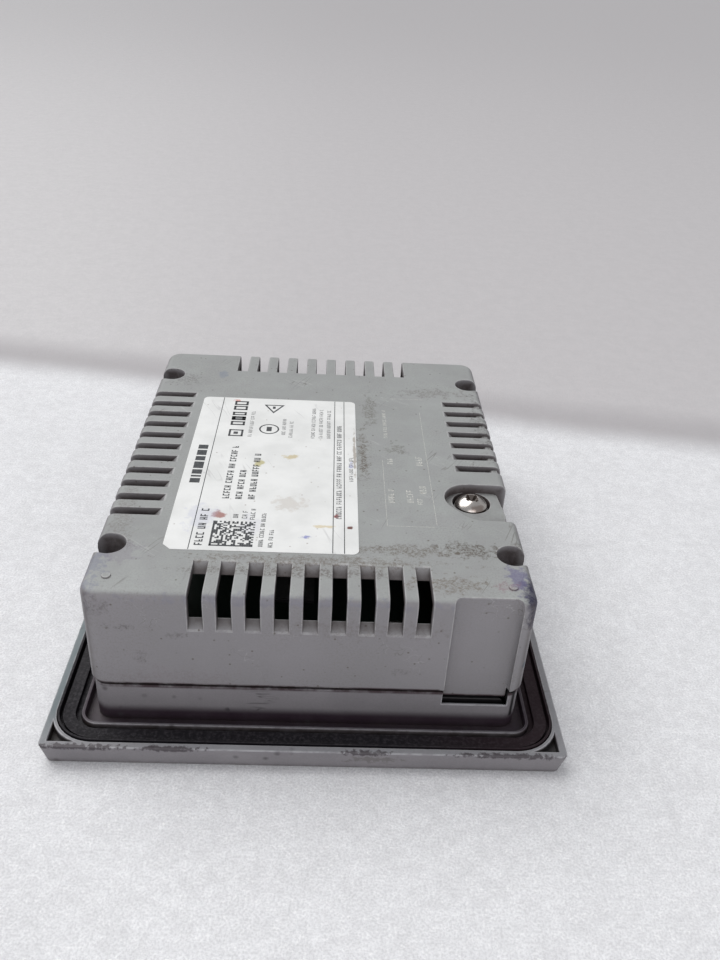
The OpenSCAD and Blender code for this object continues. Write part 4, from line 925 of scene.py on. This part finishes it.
def written_row(draw, x, y0, y1, tall, stem, word=5, gap=0.55):
    """A row of glyph-like strokes that runs along +Y, with its feet at x and its tops towards -X."""
    strokes, y, left = [], y0, draw.randint(2, word)
    wide = 0.52 * tall
    while y + wide <= y1:
        top, foot, centre = x - tall, x, x - tall / 2
        strokes.append((top, y, foot, y + stem))
        kind = draw.randint(0, 4)
        if kind in (0, 1):
            strokes.append((top, y + stem, top + stem, y + wide))
        if kind in (0, 2, 3):
            strokes.append((foot - stem, y + stem, foot, y + wide))
        if kind in (1, 3, 4):
            strokes.append((centre, y + stem, centre + stem, y + wide * 0.85))
        if kind in (2, 4):
            strokes.append((top, y + wide - stem, foot, y + wide))
        y += wide + 0.22 * tall
        left -= 1
        if left == 0:
            y += gap * tall
            left = draw.randint(2, word)
    return strokes


# %% The label's printing
INK = 0.012 * mm
label_low, label_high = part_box("rating_label")
near, far_end = label_low.y / mm + 0.15, label_high.y / mm - 0.15
draw = random.Random(7)
strokes = [(x - 0.1, near, x + 0.1, far_end) for x in (-27.75, 4.4, 7.05)]
# Rows: foot x, from y, to y, height and stroke width
LABEL_ROWS = [
    (-24.9, -42.0, -27.0, 1.8, 0.34), (-20.9, -22.8, 3.6, 1.65, 0.32), (-17.8, -22.9, -8.6, 1.6, 0.32),
    (-14.7, -22.8, -0.8, 1.65, 0.32), (-17.9, -30.9, -29.0, 1.2, 0.2), (-15.8, -31.0, -27.7, 1.2, 0.19),
    (-14.0, -31.4, -26.4, 1.1, 0.19), (-11.4, -41.9, -28.0, 1.0, 0.17), (-9.2, -42.1, -34.6, 1.0, 0.17),
]
for foot, y0, y1, tall, stem in LABEL_ROWS:
    strokes += written_row(draw, foot, y0, y1, tall, stem)
# A row of plain bars, then six outlined boxes
bar_y = -16.2
for wide in (2.1, 0.8, 2.1, 3.2, 2.1, 2.6, 2.1):
    strokes.append((-31.4, bar_y, -28.9, bar_y + wide))
    bar_y += wide + 0.62
for y0, y1, line in (
    (7.8, 11.5, 0.55), (14.0, 16.2, 0.6), (16.9, 19.1, 1.0), (19.8, 21.7, 0.6), (23.0, 25.4, 0.62),
    (26.0, 28.4, 0.62),
):
    strokes += [(-24.4, y0, -24.4 + line, y1), (-20.5 - line, y0, -20.5, y1)]
    strokes += [(-24.4, y0, -20.5, y0 + line), (-24.4, y1 - line, -20.5, y1)]
strokes += [(-23.1, 9.0, -21.9, 10.3), (-14.3, 11.2, -12.9, 13.6), (-13.4, 24.4, -12.6, 25.8)]
ink_piece("label_print", strokes, label_high.z, INK, label_ink)

# %% Small grey rows on the label
strokes = []
for foot, y0, y1 in (
    (-18.1, 7.8, 22.8), (-9.1, 9.4, 18.6), (-7.1, 8.1, 17.7), (-1.0, 8.1, 26.3), (1.1, 8.3, 24.9),
    (3.3, 8.3, 25.1), (9.3, -13.3, -0.8),
):
    strokes += written_row(draw, foot, y0, y1, 1.0, 0.15, word=7)
strokes += written_row(draw, 6.35, -30.0, 16.3, 1.25, 0.24, word=7)
ink_piece("label_small_print", strokes, label_high.z, INK, grey_ink)

# %% The square code: a solid L, a dotted edge, and cells that hold no message
cell = 0.49
code_x, code_y, cells = -23.4, -42.1, 20
strokes = [
    (code_x, code_y, code_x + cell * cells, code_y + cell),
    (code_x, code_y, code_x + cell, code_y + cell * cells),
]
for row in range(1, cells):
    for column in range(1, cells):
        on_far_edge = row == cells - 1 or column == cells - 1
        if (row + column) % 2 == 0 if on_far_edge else draw.random() < 0.52:
            x, y = code_x + row * cell, code_y + column * cell
            strokes.append((x, y, x + cell * 0.96, y + cell * 0.96))
ink_piece("label_code", strokes, label_high.z, INK, label_ink)

# %% Two outlined marks: a ring and a triangle
def outlined_mark(name, sides, x, y, radius, line, turn):
    """A thin closed outline, grown from a circle or a triangle of edges."""
    at = (x * mm, y * mm, label_high.z)
    bpy.ops.object.select_all(action="DESELECT")
    bpy.ops.mesh.primitive_circle_add(
        vertices=sides, radius=radius * mm, location=at, rotation=(0, 0, math.radians(turn))
    )
    mark = fresh(name)
    edit_all(mark)
    bpy.ops.mesh.extrude_edges_move()
    share = 1 - line / radius
    bpy.ops.transform.resize(value=(share, share, 1), center_override=at)
    bpy.ops.mesh.select_all(action="SELECT")
    bpy.ops.mesh.extrude_region_move(TRANSFORM_OT_translate={"value": (0, 0, INK)})
    bpy.ops.mesh.select_all(action="SELECT")
    bpy.ops.mesh.normals_make_consistent(inside=False)
    bpy.ops.object.mode_set(mode="OBJECT")
    settle(mark, "panel", label_ink)


outlined_mark("label_ring", 48, -13.6, 12.4, 2.75, 0.42, 0)
outlined_mark("label_triangle", 3, -13.0, 25.1, 3.4, 0.95, 180)

# %% Faded pad printing on the cover
strokes = [
    (28.9, -31.0, 29.0, 26.0), (17.1, -32.0, 17.2, -1.8),
    (17.1, -32.0, 28.3, -31.9), (21.3, 33.9, 30.5, 34.0),
]
for foot, y0, y1, tall, stem in (
    (19.0, 10.1, 26.6, 1.0, 0.16), (19.8, -3.8, 0.8, 1.4, 0.3), (19.4, -22.1, -15.4, 1.5, 0.26),
    (24.1, -21.8, -15.1, 1.6, 0.26), (27.6, -17.6, -13.6, 1.7, 0.28), (27.6, -4.2, 1.6, 1.7, 0.28),
    (26.3, -22.5, -19.0, 1.3, 0.22),
):
    strokes += written_row(draw, foot, y0, y1, tall, stem)
ink_piece("pad_printing", strokes, label_back, 0.008 * mm, pad_ink)

# %% [markdown]
# ## Front face
# The panel lies on its front, but the library's users will turn it over. The front has a dark printed
# film, a display window and four pale keys with the plain legends F1 to F4.

# %% Keys and their legends
for number in (1, 2, 3, 4):
    key = softened_copy(f"f{number}_key", f"key_cap_f{number}", 0.25 * mm)
    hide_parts(f"f{number}_key")
    settle(key, f"key_f{number}", key_print)
    low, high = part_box(f"f{number}_key")
    bpy.ops.object.select_all(action="DESELECT")
    bpy.ops.object.text_add()
    legend = bpy.context.object
    legend.data.body = f"F{number}"
    legend.data.size = 5.2 * mm
    legend.data.align_x, legend.data.align_y = "CENTER", "CENTER"
    legend.data.extrude = 0.01 * mm
    legend.matrix_world = Matrix((
        (0, -1, 0, (low.x + high.x) / 2),
        (-1, 0, 0, (low.y + high.y) / 2),
        (0, 0, -1, low.z - 0.005 * mm),
        (0, 0, 0, 1),
    ))
    only(legend)
    bpy.ops.object.convert(target="MESH")
    legend = fresh(f"legend_f{number}")
    settle(legend, f"key_f{number}", lettering_ink)

# %% A fine printed line round the window
low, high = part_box("touch_screen")
film_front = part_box("front_film")[0].z
inset, line = 1.4, 0.3
x0, x1 = low.x / mm + inset, high.x / mm - inset
y0, y1 = low.y / mm + inset, high.y / mm - inset
window_line = [
    (x0, y0, x0 + line, y1), (x1 - line, y0, x1, y1),
    (x0 + line, y0, x1 - line, y0 + line), (x0 + line, y1 - line, x1 - line, y1),
]
ink_piece("window_line", window_line, film_front - INK, INK, line_ink)

# %% [markdown]
# ## Sockets and the inside
# Through the vents and sockets a little of the inside shows, so each inner part has its own finish,
# and the sockets have their gilded contacts.

# %% Contacts in the sockets
insert_low, insert_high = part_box("rj45_insert")
mouth, centre_y = insert_high.x / mm, (insert_low.y + insert_high.y) / 2 / mm
wire_pitch = 1.02
wires = []
for number in range(8):
    y = centre_y + (number - 3.5) * wire_pitch
    wires.append((mouth - 12.8, y - 0.16, mouth - 4.6, y + 0.16))
ink_piece("network_contacts", wires, 28.07 * mm, 0.16 * mm, gold_flash)
tongue_low, tongue_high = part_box("usb_tongue")
mouth, centre_y = tongue_high.x / mm, (tongue_low.y + tongue_high.y) / 2 / mm
pads = [(mouth - 7.5, centre_y + y - 0.5, mouth - 0.8, centre_y + y + 0.5) for y in (-3.5, -1, 1, 3.5)]
ink_piece("usb_contacts", pads, 21.47 * mm, 0.08 * mm, gold_flash)

# %% Finishes of the CAD nodes that stay as they are
NODE_FINISHES = {
    "rating_label": label_film, "front_film": front_print, "touch_screen": display_glass,
    "key_domes": bright_tin, "keypad_board": solder_mask, "keypad_screws": zinc,
    "keypad_cable": ribbon_film, "lcd_frame": sheet_steel, "lcd_glass": display_glass,
    "backlight": white_plastic, "display_cable": ribbon_film, "display_bracket": sheet_steel,
    "bracket_screws": zinc, "board_standoffs": brass, "main_board": solder_mask,
    "board_screws": zinc, "processor": chip_black, "memory_chips": chip_black,
    "capacitors": capacitor_sleeve, "power_inductors": ferrite, "board_sockets": white_plastic,
    "rj45_shield": bright_tin, "rj45_insert": black_plastic, "usb_shell": bright_tin,
    "usb_tongue": black_plastic, "power_header": black_plastic, "power_pins": brass,
    "ground_insert": brass, "ground_strap": sheet_steel,
}
for node, material in NODE_FINISHES.items():
    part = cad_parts[node]
    part.data.materials.clear()
    part.data.materials.append(material)
for marker in ("plain", "rubbed"):
    bpy.data.materials.remove(bpy.data.materials[marker])
print(len(NODE_FINISHES), "CAD nodes have their finish")

# %% [markdown]
# ## Finish
# The bounds of the finished model are measured.

# %% Sizes
low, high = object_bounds()
